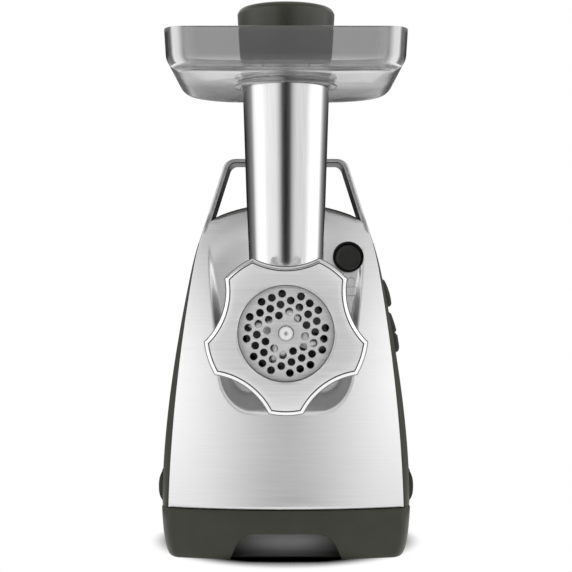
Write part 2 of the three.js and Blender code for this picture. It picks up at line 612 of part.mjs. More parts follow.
// The crossing, on the +X or -X side, of circles about two shaft centres.
function shaftBetween(a, radiusA, b, radiusB, side) {
  const across = new THREE.Vector2().subVectors(b, a);
  const span = across.length();
  const along = (radiusA ** 2 - radiusB ** 2 + span ** 2) / (2 * span);
  const away = side * Math.sqrt(radiusA ** 2 - along ** 2);
  across.normalize();
  return new THREE.Vector2(a.x + across.x * along + across.y * away, a.y + across.y * along - across.x * away);
}

const stageSpan = STAGES.map(({ pinion, gear, module }) => ((pinion + gear) * module) / 2);
const output = new THREE.Vector2(0, AXIS_Z);
const motorAt = new THREE.Vector2(0, MOTOR.z);
const firstAt = new THREE.Vector2(-Math.sqrt(stageSpan[0] ** 2 - 19.2 ** 2), MOTOR.z + 19.2);
const secondAt = shaftBetween(firstAt, stageSpan[1], output, stageSpan[2], 1);

// A toothed wheel whose tooth (or gap, half a tooth on) points at its partner.
function gearWheel(teeth, module, y0, y1, centre, partner, gapTowardsPartner) {
  const facing = Math.atan2(partner.y - centre.y, partner.x - centre.x);
  const turn = facing + (gapTowardsPartner ? Math.PI / teeth : 0);
  return alongY(gearShape(teeth, module), y0, y1, 4).applyMatrix4(new THREE.Matrix4().makeRotationY(-turn));
}

function gearCluster(stage, centre, drivenBy, drives) {
  const wheel = STAGES[stage];
  const next = STAGES[stage + 1];
  const big = gearWheel(wheel.gear, wheel.module, wheel.front, wheel.back, centre, drivenBy, true);
  const small = gearWheel(next.pinion, next.module, next.front - 0.5, wheel.front + 1, centre, drives, false);
  const axle = rod(SHAFT, PLATES.front + 1, PLATES.rearBack - 1, 20);
  return join(big, small, axle);
}

function outputGear() {
  const stage = STAGES[2];
  const wheel = gearWheel(stage.gear, stage.module, stage.front, stage.back, output, secondAt, true);
  return cut(wheel, rod(DRIVE + GAP, 0, 60));
}

function driveShaft() {
  const body = rod(DRIVE, -11.8, PLATES.rearBack - 1, 24);
  return cut(body, turned([[0, -12.5], [HEX + 0.5, -12.5], [HEX + 0.5, 1], [0, 1]], 6));
}

const gearboxOutline = (inset) => rounded([[-59 + inset, 70 + inset, 12], [47 - inset, 70 + inset, 12],
  [47 - inset, 196 - inset, 22], [-47 + inset, 196 - inset, 22], [-59 + inset, 112, 10]]);

function gearboxPlate(y0, y1, bores) {
  const holes = bores.map(([at, radius]) => alongY(circle(radius, at.x, at.y), y0 - 1, y1 + 1));
  return cut(alongY(gearboxOutline(0), y0, y1), ...holes);
}

const gearboxCase = () =>
  cut(alongY(gearboxOutline(0), PLATES.frontBack + GAP, PLATES.rear - GAP), alongY(gearboxOutline(3), 0, 80));

// ---- Motor (drawn about its own axis) ----
function motorStator() {
  const { stator, statorBore, front, back } = MOTOR;
  const outline = block(-stator, stator, -stator + 2, stator - 2, 12);
  outline.holes = [circle(statorBore, 0, 0, 32)];
  return alongY(outline, front, back);
}

const armatureCore = () => {
  const slots = Array.from({ length: 8 }, (_, i) =>
    alongY(block(21, 26, -1.2, 1.2, 0.3), MOTOR.front, MOTOR.back + 1, 1).rotateY((i * Math.PI) / 4));
  return cut(sleeve(MOTOR.core, MOTOR.shaft + GAP, MOTOR.front + 1, MOTOR.back - 1, 24), ...slots);
};

function coolingFan() {
  const blades = Array.from({ length: 6 }, (_, i) =>
    alongY(block(9, 35, -1, 1, 0.3), 68.5, 76, 1).rotateY((i * Math.PI) / 3));
  const [disc, hub] = [sleeve(36, 5, 75.5, 77.5, 24), sleeve(10, 5, 68, 77, 16)];
  return cut(join(disc, hub, ...blades), rod(MOTOR.shaft + GAP, 60, 90));
}

const motorBracket = () => cut(alongY(block(-42, 42, -14, 14, 6), 137, 140.5), rod(8.4, 130, 150));

// ---- Assembly ----
const grinder = new THREE.Group();

function place(parent, name, geometry, material, x = 0, y = 0, z = 0) {
  const mesh = new THREE.Mesh(tidy(geometry), material);
  mesh.name = name;
  mesh.position.set(x, y, z);
  parent.add(mesh);
}

function groupAt(x, z) {
  const group = new THREE.Group();
  group.position.set(x, 0, z);
  grinder.add(group);
  return group;
}

place(grinder, "front_panel", frontPanel(), brushedSteel);
place(grinder, "carry_handle", carryHandle(), polishedSteel);
place(grinder, "rear_shell", rearShell(), darkPlastic);
place(grinder, "base_skirt", baseSkirt(), darkPlastic);
place(grinder, "bottom_plate", bottomPlate(), blackPlastic);
for (const end of ["front", "rear"]) {
  place(grinder, `foot_${end}_left`, rubberFoot(), rubber, -FOOT.x, FOOT[end]);
  place(grinder, `foot_${end}_right`, rubberFoot(), rubber, FOOT.x, FOOT[end]);
}
place(grinder, "side_grip_left", sideGrip(-1), rubber);
place(grinder, "side_grip_right", sideGrip(1), rubber);
SCREWS.forEach(([x, z], i) => {
  const across = Math.abs(x) / halfWidth(z, SHELL);
  const bow = Math.pow(1 - Math.pow(across, SHELL.squareness), 1 / SHELL.squareness);
  const y = SHELL.middle + (shellBack(z) - SHELL.middle) * bow + SCREW.stand;
  place(grinder, `shell_screw_${i + 1}`, shellScrew(), castMetal, x, y, z);
});
place(grinder, "cable_gland", cableGland(), blackPlastic, 0, 0, GLAND.z);

const headGroup = groupAt(0, AXIS_Z);
place(headGroup, "head_socket", headSocket(), castMetal);
place(headGroup, "output_bushing", sleeve(13.7, 10, -10.4, PLATES.front - GAP, 24), castMetal);
place(headGroup, "head_body", headBody(), polishedSteel);
place(headGroup, "plate_key", plateKey(0), castMetal);
place(headGroup, "cutting_plate", cuttingPlate(), polishedSteel);
place(headGroup, "screw_ring", screwRing(), satinAluminium);
place(headGroup, "auger", auger(), castMetal);
place(headGroup, "cutting_knife", cuttingKnife(), polishedSteel);

place(grinder, "hopper_tray", hopperTray(), smokyClear);
place(grinder, "food_pusher", foodPusher(), darkPlastic);

place(grinder, "lock_button", lockButton(), blackPlastic);
place(grinder, "lock_bezel", lockBezel(), blackPlastic);
place(grinder, "lock_bolt", lockBolt(), castMetal);
place(grinder, "reverse_button", reverseButton(), blackPlastic);
place(grinder, "power_rocker", powerRocker(), blackPlastic);
place(grinder, "reverse_switch", boxSolid(...REVERSE_SWITCH), blackPlastic);
place(grinder, "power_switch", boxSolid(...POWER_SWITCH), blackPlastic);
place(grinder, "control_board", boxSolid(...CONTROL_BOARD), boardGreen);

const bores = [[output, DRIVE + 0.4], [firstAt, SHAFT + 0.4], [secondAt, SHAFT + 0.4]];
place(grinder, "gearbox_front_plate", gearboxPlate(PLATES.front, PLATES.frontBack, bores), castMetal);
place(grinder, "gearbox_case", gearboxCase(), castMetal);
place(grinder, "gearbox_rear_plate",
  gearboxPlate(PLATES.rear, PLATES.rearBack, [...bores, [motorAt, 11.2]]), castMetal);
place(headGroup, "drive_shaft", driveShaft(), castMetal);
place(headGroup, "output_gear", outputGear(), castMetal);
place(groupAt(secondAt.x, secondAt.y), "second_gear", gearCluster(1, secondAt, firstAt, output), gearPlastic);
place(groupAt(firstAt.x, firstAt.y), "first_gear", gearCluster(0, firstAt, motorAt, secondAt), gearPlastic);

const motorGroup = groupAt(motorAt.x, motorAt.y);
const motorPinion = cut(gearWheel(STAGES[0].pinion, STAGES[0].module, 49.5, 58, motorAt, firstAt, false),
  rod(2.2 + GAP, 0, 80, 12));
const motorShaft = turned([[0, 48.5], [2.2, 48.5], [2.2, 59], [MOTOR.shaft, 59], [MOTOR.shaft, 142],
  [0, 142]], 12);
place(motorGroup, "motor_pinion", motorPinion, castMetal);
place(motorGroup, "motor_shaft", motorShaft, castMetal);
place(motorGroup, "armature_core", armatureCore(), copper);
place(motorGroup, "commutator", sleeve(11.5, MOTOR.shaft + GAP, 123.5, 134, 16), copper);
place(motorGroup, "cooling_fan", coolingFan(), gearPlastic);
place(motorGroup, "motor_stator", motorStator(), castMetal);
place(motorGroup, "motor_bracket", motorBracket(), castMetal);
place(motorGroup, "front_bearing", sleeve(10.8, MOTOR.shaft + GAP, 60, 64, 16), polishedSteel);
place(motorGroup, "rear_bearing", sleeve(8, MOTOR.shaft + GAP, 136.8, 141, 16), polishedSteel);
place(motorGroup, "brush_left", boxSolid(...BRUSH).scale(-1, 1, 1), carbon);
place(motorGroup, "brush_right", boxSolid(...BRUSH), carbon);
const cradle = boxSolid(-34, 34, MOTOR.front + 4, MOTOR.back - 4, 8.3, MOTOR.z - 40.4);
place(grinder, "motor_cradle", cradle, rubber);

export default grinder;
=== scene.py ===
"""The finished look of an electric meat grinder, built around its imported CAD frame.

Sizes are in millimetres, in the frame's own axes: +X right, +Y back, +Z up, with the floor at z = 0.
Meshes are turned into metres as they are made.
"""

import math
from contextlib import contextmanager
from types import SimpleNamespace as Sizes

import bmesh
import bpy
from mathutils import Matrix, Vector


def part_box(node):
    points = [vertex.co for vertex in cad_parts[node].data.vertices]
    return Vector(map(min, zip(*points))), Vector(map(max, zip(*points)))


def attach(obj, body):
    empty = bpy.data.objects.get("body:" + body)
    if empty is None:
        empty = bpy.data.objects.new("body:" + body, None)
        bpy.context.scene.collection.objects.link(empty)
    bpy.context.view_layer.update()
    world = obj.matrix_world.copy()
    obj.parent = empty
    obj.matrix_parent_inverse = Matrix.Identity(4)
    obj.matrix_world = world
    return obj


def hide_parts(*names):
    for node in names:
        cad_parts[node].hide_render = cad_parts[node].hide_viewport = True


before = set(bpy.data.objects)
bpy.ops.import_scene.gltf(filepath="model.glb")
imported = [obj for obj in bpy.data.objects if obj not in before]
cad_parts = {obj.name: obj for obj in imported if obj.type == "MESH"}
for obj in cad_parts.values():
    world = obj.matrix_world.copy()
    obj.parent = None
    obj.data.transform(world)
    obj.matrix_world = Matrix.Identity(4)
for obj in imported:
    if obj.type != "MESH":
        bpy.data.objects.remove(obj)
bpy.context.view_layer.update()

MM = 0.001


def cad_box(node):
    """A CAD node's lowest and highest corners, in millimetres."""
    low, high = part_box(node)
    return low / MM, high / MM


def cad_middle(node):
    low, high = cad_box(node)
    return (low + high) / 2


# ---- Dimensions read from the frame ----
PLATE_LOW, PLATE_HIGH = cad_box("cutting_plate")
PUSHER_LOW, PUSHER_HIGH = cad_box("food_pusher")
TRAY_LOW, TRAY_HIGH = cad_box("hopper_tray")
BUTTON_LOW, BUTTON_HIGH = cad_box("lock_button")
REVERSE_LOW, REVERSE_HIGH = cad_box("reverse_button")
ROCKER_LOW, ROCKER_HIGH = cad_box("power_rocker")
AXIS_Z = (PLATE_LOW.z + PLATE_HIGH.z) / 2
NECK_Y = (PUSHER_LOW.y + PUSHER_HIGH.y) / 2
NECK_TOP = cad_box("head_body")[1].z
RING_FRONT = cad_box("screw_ring")[0].y
BARREL_AXIS = (0, 0, AXIS_Z)
NECK_AXIS = (0, NECK_Y, 0)

# ---- The housing's surfaces, as functions of height ----
PANEL = Sizes(bottom=35.2, apex=242.5, arch=131, foot=79.5, taper=0.00193, power=1.75, taper_from=30)
SHELL = Sizes(bottom=34.9, apex=243.6, arch=132.1, foot=85.6, taper=0.0063, power=1.6, taper_from=50)
SHOULDER = Sizes(start=195, draw_in=0.0022)
FACE = Sizes(toe=-51, lean=0.129, curl=0.00061, bulge=14 / 80**2)
BACK = Sizes(y=150, ridge=60, start=100, power=2.4)
SHELL_MIDDLE = 40
SQUARENESS = 3.4
PANEL_SKIN = 2.2
TOP_ROLL = 5.0


def side_half(z, part):
    draw_in = SHOULDER.draw_in * max(0.0, z - SHOULDER.start) ** 2
    return part.foot - part.taper * max(0.0, z - part.taper_from) ** part.power - draw_in


def half_width(z, part):
    """Half the housing's width at a height: the tapering side, smoothly joined to the arched top."""
    side = side_half(z, part)
    if z < part.apex - part.arch:
        return side
    arch = math.sqrt(max(0.01, part.arch ** 2 - (z - part.apex + part.arch) ** 2))
    return (side**-12 + arch**-12) ** (-1 / 12)


def panel_face(x, z):
    up = z - PANEL.bottom
    return FACE.toe + FACE.lean * up + FACE.curl * up * up + FACE.bulge * x * x


def shell_back(z):
    rise = max(0.0, (z - BACK.start) / (SHELL.apex - BACK.start))
    reach = max(0.0, 1 - rise ** BACK.power) ** (1 / BACK.power)
    return BACK.ridge + (BACK.y - BACK.ridge) * reach


def clamped(value):
    return min(1.0, max(0.0, value))


def quarter_turn(steps, first=0):
    """Angles in even steps up to 90 degrees, in radians."""
    return [i / steps * math.pi / 2 for i in range(first, steps + 1)]


def heights(low, high, steps):
    """Levels from low to high that crowd together towards the top."""
    return [low + (high - low) * math.sin(turn) for turn in quarter_turn(steps)]


# ---- Mesh making ----
def new_mesh(name, verts, faces):
    mesh = bpy.data.meshes.new(name)
    mesh.from_pydata([(x * MM, y * MM, z * MM) for x, y, z in verts], [], faces)
    mesh.validate()
    mesh.update()
    obj = bpy.data.objects.new(name, mesh)
    bpy.context.scene.collection.objects.link(obj)
    mesh.shade_smooth()
    return obj


def loft(name, rings, closed=True, caps=True):
    """A skin over rings of points. Closed rings join end to start, and caps fill the first and last."""
    count = len(rings[0])
    verts = [p for ring in rings for p in ring]
    faces = []
    around = count if closed else count - 1
    for level in range(len(rings) - 1):
        for i in range(around):
            a = level * count + i
            b = level * count + (i + 1) % count
            faces.append((a, b, b + count, a + count))
    if caps:
        faces.append(tuple(reversed(range(count))))
        faces.append(tuple((len(rings) - 1) * count + i for i in range(count)))
    return new_mesh(name, verts, faces)


def turned(name, profile, centre, axis="Y", segments=96):
    """A solid of revolution from (radius, along) points that start and end on the axis, or form a loop."""
    cx, cy, cz = centre
    closed = profile[0] == profile[-1]
    points = profile[:-1] if closed else profile
    verts = []
    for i in range(segments):
        turn = 2 * math.pi * i / segments
        side, up = math.cos(turn), math.sin(turn)
        if axis == "Y":
            verts += [(cx + r * side, cy + h, cz + r * up) for r, h in points]
        else:
            verts += [(cx + r * side, cy + r * up, cz + h) for r, h in points]
    count = len(points)
    faces = []
    for s in range(segments):
        here, following = s * count, (s + 1) % segments * count
        for i in range(count if closed else count - 1):
            after = (i + 1) % count
            faces.append((here + i, here + after, following + after, following + i))
    return weld(new_mesh(name, verts, faces))


def cylinder(name, radius, start, end, centre, axis="Y", segments=48):
    return turned(name, [(0, start), (radius, start), (radius, end), (0, end)], centre, axis, segments)


def mark(obj, name, values):
    """Stores a number at each point, for a material to read."""
    layer = obj.data.attributes.new(name, "FLOAT", "POINT")
    for item, value in zip(layer.data, values):
        item.value = float(value)


@contextmanager
def editing(obj):
    """Opens an object's mesh for editing, and writes it back at the end."""
    bm = bmesh.new()
    bm.from_mesh(obj.data)
    yield bm
    bm.to_mesh(obj.data)
    bm.free()
    obj.data.update()


def weld(obj, distance=0.004):
    """Merges the points that meet, such as those on an axis, and points every face outwards."""
    with editing(obj) as bm:
        bmesh.ops.remove_doubles(bm, verts=bm.verts, dist=distance * MM)
        bmesh.ops.dissolve_degenerate(bm, edges=bm.edges, dist=0.001 * MM)
        bmesh.ops.recalc_face_normals(bm, faces=bm.faces)
    return obj


def arc(cx, cy, radius, start, end, steps):
    """Points from start to end, in degrees, on a circle."""
    angles = [math.radians(start + (end - start) * i / steps) for i in range(steps + 1)]
    return [(cx + radius * math.cos(a), cy + radius * math.sin(a)) for a in angles]


def rounded(corners, steps=10):
    """A closed outline through corners (x, y, radius), each a true arc."""
    points = []
    for i, (x, y, radius) in enumerate(corners):
        corner = Vector((x, y))
        before = (Vector(corners[i - 1][:2]) - corner).normalized()
        after = (Vector(corners[(i + 1) % len(corners)][:2]) - corner).normalized()
        half = before.angle(after) / 2
        if radius <= 0 or half > math.pi / 2 - 0.01:
            points.append((x, y))
            continue
        centre = corner + (before + after).normalized() * radius / math.sin(half)
        start = corner + before * radius / math.tan(half) - centre
        end = corner + after * radius / math.tan(half) - centre
        sweep = start.angle_signed(end)
        for s in range(steps + 1):
            turn = Matrix.Rotation(-sweep * s / steps, 2)
            p = centre + turn @ start
            points.append((p.x, p.y))
    return points


def box_outline(left, low, right, high, radius=0, steps=10):
    corners = [(left, low), (right, low), (right, high), (left, high)]
    return rounded([(x, y, radius) for x, y in corners], steps)


def prism(name, outline, low, high, axis="Y"):
    """An outline drawn as (x, z), (x, y) or (y, z), pushed along Y, Z or X."""
    place = {
        "Y": lambda a, b, t: (a, t, b),
        "Z": lambda a, b, t: (a, b, t),
        "X": lambda a, b, t: (t, a, b),
    }[axis]
    obj = loft(name, [[place(a, b, t) for a, b in outline] for t in (low, high)])
    return weld(obj)


def apply_modifiers(obj):
    bpy.context.view_layer.update()
    depsgraph = bpy.context.evaluated_depsgraph_get()
    mesh = bpy.data.meshes.new_from_object(obj.evaluated_get(depsgraph))
    old = obj.data
    obj.modifiers.clear()
    obj.data = mesh
    bpy.data.meshes.remove(old)
    return obj


def combine(obj, tool, operation):
    modifier = obj.modifiers.new("combine", "BOOLEAN")
    modifier.operation = operation
    modifier.solver = "EXACT"
    modifier.object = tool
    apply_modifiers(obj)
    bpy.data.objects.remove(tool)
    return obj


def cut(obj, *tools):
    for tool in tools:
        combine(obj, tool, "DIFFERENCE")
    return obj


def join(obj, *others):
    for other in others:
        combine(obj, other, "UNION")
    return obj


def merge(obj, other):
    """Puts two separate closed meshes in one object, with no boolean between them."""
    with editing(obj) as bm:
        bm.from_mesh(other.data)
    bpy.data.objects.remove(other)


def round_edges(obj, width, segments, angle):
    bevel = obj.modifiers.new("rounding", "BEVEL")
    bevel.width = width * MM
    bevel.segments = segments
    bevel.limit_method = "ANGLE"
    bevel.angle_limit = math.radians(angle)
    apply_modifiers(obj)
    obj.data.shade_smooth()
    return obj


def sharpen(obj, angle=35):
    """Smooth shading that still breaks at edges sharper than the angle."""
    with editing(obj) as bm:
        for edge in bm.edges:
            sharp = len(edge.link_faces) == 2 and edge.calc_face_angle(0) > math.radians(angle)
            edge.smooth = not sharp
        for face in bm.faces:
            face.smooth = True
    return obj


def thicken(obj, thickness):
    """Gives a skin its thickness, inwards."""
    solid = obj.modifiers.new("thickness", "SOLIDIFY")
    solid.thickness = thickness * MM
    solid.offset = -1
    solid.use_even_offset = True
    return apply_modifiers(obj)


def finish(obj, body, slot, material, *replaced):
    """Gives a piece its material, and says what it rides on and stands for."""
    obj.data.materials.clear()
    obj.data.materials.append(material)
    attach(obj, body)
    if replaced:
        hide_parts(*replaced)
    return obj


# ---- Materials ----
PALE_METAL = (0.86, 0.855, 0.86)


def shader_of(material):
    return material.node_tree, material.node_tree.nodes["Principled BSDF"]


def new_material(name, colour, roughness, metallic=0.0):
    material = bpy.data.materials.new(name)
    material.use_nodes = True
    tree, shader = shader_of(material)
    shader.inputs["Base Color"].default_value = (*colour, 1)
    shader.inputs["Roughness"].default_value = roughness
    shader.inputs["Metallic"].default_value = metallic
    return material, tree, shader


def feed(tree, socket, value):
    """Gives a socket another node's output, a colour, or a number."""
    if isinstance(value, bpy.types.NodeSocket):
        tree.links.new(value, socket)
    elif isinstance(value, tuple):
        socket.default_value = (*value, 1)
    else:
        socket.default_value = value


def math_node(tree, operation, *values):
    node = tree.nodes.new("ShaderNodeMath")
    node.operation = operation
    for socket, value in zip(node.inputs, values):
        feed(tree, socket, value)
    return node.outputs[0]


def mixed(tree, share, first, second, blend="MIX"):
    mix = tree.nodes.new("ShaderNodeMix")
    mix.data_type = "RGBA"
    mix.blend_type = blend
    for i, value in ((0, share), (6, first), (7, second)):
        feed(tree, mix.inputs[i], value)
    return mix.outputs[2]


def mixed_shaders(tree, share, first, second, target):
    blend = tree.nodes.new("ShaderNodeMixShader")
    for socket, source in zip(blend.inputs, (share, first, second)):
        tree.links.new(source, socket)
    tree.links.new(blend.outputs[0], target)


def smooth_step(tree, value, start, end):
    step = tree.nodes.new("ShaderNodeMapRange")
    step.interpolation_type = "SMOOTHSTEP"
    step.inputs["From Min"].default_value = start
    step.inputs["From Max"].default_value = end
    tree.links.new(value, step.inputs["Value"])
    return step.outputs[0]


def grey(value):
    return (value, value, value)


def colour_ramp(tree, source, stops):
    """Reads a colour off (position, colour) stops."""
    ramp = tree.nodes.new("ShaderNodeValToRGB")
    tree.links.new(source, ramp.inputs["Fac"])
    elements = ramp.color_ramp.elements
    elements.remove(elements[-1])
    for i, (position, colour) in enumerate(stops):
        element = elements[0] if i == 0 else elements.new(position)
        element.position = position
        element.color = (*colour, 1)
    return ramp.outputs["Color"]


def value_ramp(tree, source, stops):
    return colour_ramp(tree, source, [(position, grey(value)) for position, value in stops])


def place_in(tree, space):
    """The x, y and z of each point, in a texture coordinate's space."""
    coords = tree.nodes.new("ShaderNodeTexCoord")
    split = tree.nodes.new("ShaderNodeSeparateXYZ")
    tree.links.new(coords.outputs[space], split.inputs[0])
    return split.outputs


def marked(tree, name):
    """The numbers that mark() stored in the mesh."""
    stored = tree.nodes.new("ShaderNodeAttribute")
    stored.attribute_name = name
    return stored.outputs["Fac"]


def object_noise(tree, scale, detail):
    """Noise in the object's own coordinates, with its own scale along each axis, per metre."""
    coords = tree.nodes.new("ShaderNodeTexCoord")
    mapping = tree.nodes.new("ShaderNodeMapping")
    mapping.inputs["Scale"].default_value = scale
    tree.links.new(coords.outputs["Object"], mapping.inputs["Vector"])
    noise = tree.nodes.new("ShaderNodeTexNoise")
    tree.links.new(mapping.outputs["Vector"], noise.inputs["Vector"])
    noise.inputs["Scale"].default_value = 1.0
    noise.inputs["Detail"].default_value = detail
    return noise.outputs["Fac"]


def vary(tree, source, low, high, target):
    """Spreads a 0 to 1 value over low to high and feeds a socket, for a colour or a number."""
    if isinstance(low, tuple):
        tree.links.new(colour_ramp(tree, source, [(0.3, low), (0.7, high)]), target)
        return
    spread = tree.nodes.new("ShaderNodeMapRange")
    spread.inputs["From Min"].default_value = 0.25
    spread.inputs["From Max"].default_value = 0.75
    spread.inputs["To Min"].default_value = low
    spread.inputs["To Max"].default_value = high
    tree.links.new(source, spread.inputs["Value"])
    tree.links.new(spread.outputs["Result"], target)


def bump(tree, shader, source, distance, strength=1.0):
    relief = tree.nodes.new("ShaderNodeBump")
    relief.inputs["Distance"].default_value = distance * MM
    relief.inputs["Strength"].default_value = strength
    tree.links.new(source, relief.inputs["Height"])
    tree.links.new(relief.outputs["Normal"], shader.inputs["Normal"])


def brushed_metal(name, dark, light, roughness, scale, relief, metallic=1.0):
    """Metal with fine parallel scratches: the scale is small along the brushing and large across it."""
    material, tree, shader = new_material(name, light, roughness, metallic)
    grain = object_noise(tree, scale, detail=4.0)
    vary(tree, grain, dark, light, shader.inputs["Base Color"])
    vary(tree, grain, roughness * 0.85, roughness * 1.15, shader.inputs["Roughness"])
    bump(tree, shader, grain, relief)
    return material


def recoloured(material, share, colour):
    """Blends a material's colour towards another, by a share from 0 to 1 that varies over the surface."""
    tree, shader = shader_of(material)
    base = shader.inputs["Base Color"]
    tree.links.new(mixed(tree, share, base.links[0].from_socket, colour), base)
    return material


def pale_tip(material):
    """Turns a dark metal to bright ground metal at its front end, which shows in the middle of the plate."""
    tree = material.node_tree
    along = place_in(tree, "Object")[1]
    return recoloured(material, math_node(tree, "LESS_THAN", along, (PLATE_LOW.y + 1) * MM), PALE_METAL)


def paint_marked_shade(material, strength):
    """Paints shade onto a metal, darkening it wherever the mesh's painted shade mark is set: in grooves,
    along dark edges and on sides that fall in shade.
    """
    tree = material.node_tree
    share = math_node(tree, "MULTIPLY", marked(tree, "painted_shade"), strength)
    return recoloured(material, share, grey(0.01))


def painted_shade_below(material, low, high):
    """Paints shade onto a material, darker towards the floor from one height down to another."""
    tree = material.node_tree
    up = place_in(tree, "Object")[2]
    return recoloured(material, smooth_step(tree, up, high * MM, low * MM), grey(0.12))


def polished_edge(material, roughness):
    """Smooths a metal wherever the mesh's polish mark is set."""
    tree, shader = shader_of(material)
    blend = tree.nodes.new("ShaderNodeMix")
    tree.links.new(marked(tree, "polish"), blend.inputs[0])
    tree.links.new(shader.inputs["Roughness"].links[0].from_socket, blend.inputs[2])
    blend.inputs[3].default_value = roughness
    tree.links.new(blend.outputs[0], shader.inputs["Roughness"])
    return material


def moulded_plastic(name, dark, light, roughness, grain_size=0.5, relief=0.03):
    """Plastic with a fine spark-eroded texture and faint mottling."""
    material, tree, shader = new_material(name, light, roughness)
    per_metre = 1 / (grain_size * MM)
    texture = object_noise(tree, (per_metre,) * 3, detail=2.0)
    mottle = object_noise(tree, (60, 60, 60), detail=3.0)
    vary(tree, mottle, dark, light, shader.inputs["Base Color"])
    vary(tree, texture, roughness * 0.85, roughness * 1.15, shader.inputs["Roughness"])
    bump(tree, shader, texture, relief)
    return material


# The tray's tint is painted lighter at its floor and darker in a line along the bottom edge.
TRAY = Sizes(depth=25.6, rim_half=73.8, flare=1.6, front=-155, back=23, front_corner=12, rear_corner=46,
             wall=2.4, fillet=9.5, tint=0.27, tint_below=0.66, tint_seam=0.12)
# Painted light along the tray's front wall, from its middle (0) to its side (1): a milky painted highlight
# near each end, and a painted dark edge beyond it.
TRAY_PAINTED_HIGHLIGHT = [(0, 0.1), (0.72, 0.1), (0.84, 0.25), (0.885, 0.85), (0.925, 0.92), (0.945, 0.1), (1, 0)]
TRAY_PAINTED_DARK_EDGE = [(0, 1), (0.93, 1), (0.955, 0.25), (1, 0.03)]


def smoky_clear():
    """Smoke-tinted clear plastic, with a milky painted highlight at the ends of the front wall and a painted
    dark edge beyond; its tint is painted lighter low on the wall and darker in a line along the bottom edge.
    """
    material, tree, shader = new_material("smoky_clear", (0.36, 0.355, 0.355), 0.03)
    shader.inputs["Transmission Weight"].default_value = 1.0
    shader.inputs["IOR"].default_value = 1.49
    bump(tree, shader, object_noise(tree, (9, 9, 14), detail=1.0), 1.2, 0.6)
    floor = TRAY_HIGH.z - TRAY.depth
    height = place_in(tree, "Object")[2]
    # Painted light: the tint is lighter at the floor and up the rounded bottom edge.
    up = smooth_step(tree, height, (floor + 2) * MM, (floor + 9) * MM)
    tint = mixed(tree, up, grey(TRAY.tint_below), grey(TRAY.tint))
    # Painted shade: a dark line along the rounded bottom edge, where the seam mark is set.
    tint = mixed(tree, marked(tree, "seam"), tint, grey(TRAY.tint_seam))
    # The painted highlight and the painted dark edge both follow the across mark.
    across = marked(tree, "across")
    edge = value_ramp(tree, across, TRAY_PAINTED_DARK_EDGE)
    tree.links.new(mixed(tree, 1.0, tint, edge, "MULTIPLY"), shader.inputs["Base Color"])
    painted_highlight = tree.nodes.new("ShaderNodeBsdfDiffuse")
    painted_highlight.inputs["Color"].default_value = (0.92, 0.91, 0.92, 1)
    share = value_ramp(tree, across, TRAY_PAINTED_HIGHLIGHT)
    surface = tree.nodes["Material Output"].inputs["Surface"]
    mixed_shaders(tree, share, shader.outputs[0], painted_highlight.outputs[0], surface)
    return material


PANEL_STEEL = brushed_metal("panel_steel", (0.74, 0.735, 0.74), (0.79, 0.785, 0.79), 0.36,
                            (28, 28, 1700), 0.002, 0.85)
# The handle's steel, with painted shade on the strap's inner side.
HANDLE_STEEL = paint_marked_shade(brushed_metal("handle_steel", (0.49, 0.49, 0.495), grey(0.54), 0.38,
                                          (60, 60, 900), 0.003), 0.86)
TUBE_STEEL = brushed_metal("tube_steel", grey(0.84), grey(0.90), 0.13, (1300, 1300, 5), 0.004)
RING_METAL = brushed_metal("ring_metal", (0.93, 0.92, 0.925), (0.98, 0.97, 0.975), 0.37,
                           (30, 30, 1500), 0.003, 0.85)
# The ring's chamfer is polished, and painted shade darkens its groove, its outer edge and the mouth's edge.
paint_marked_shade(polished_edge(RING_METAL, 0.2), 0.92)
PLATE_STEEL = brushed_metal("plate_steel", (0.80, 0.795, 0.80), (0.89, 0.885, 0.89), 0.46,
                            (30, 30, 1400), 0.006, 0.85)
BRIGHT_STEEL = brushed_metal("bright_steel", grey(0.70), grey(0.82), 0.28, (700, 700, 20), 0.006)
# The auger's metal is painted dark, as painted shade in the plate's holes; only its front tip shows bright
# metal.
AUGER_METAL_PAINTED_DARK = pale_tip(brushed_metal("auger_metal_painted_dark", grey(0.20), grey(0.27), 0.5, (400, 400, 400), 0.010))
CAST_METAL = brushed_metal("cast_metal", (0.36, 0.365, 0.37), (0.50, 0.50, 0.505), 0.45,
                           (400, 400, 400), 0.020)
COPPER = brushed_metal("winding_copper", (0.45, 0.22, 0.10), (0.66, 0.36, 0.19), 0.35, (1200, 40, 1200), 0.05)
LAMINATIONS = brushed_metal("laminations", (0.24, 0.24, 0.25), (0.38, 0.38, 0.39), 0.45, (8, 1600, 8), 0.05)
HOUSING = moulded_plastic("housing_plastic", (0.035, 0.037, 0.026), (0.041, 0.043, 0.031), 0.46)
PUSHER_PLASTIC = moulded_plastic("pusher_plastic", (0.042, 0.043, 0.030), (0.048, 0.049, 0.035), 0.28,
                                 0.35, 0.010)
BLACK = moulded_plastic("black_plastic", (0.010, 0.011, 0.008), (0.014, 0.015, 0.011), 0.36, 0.4, 0.01)
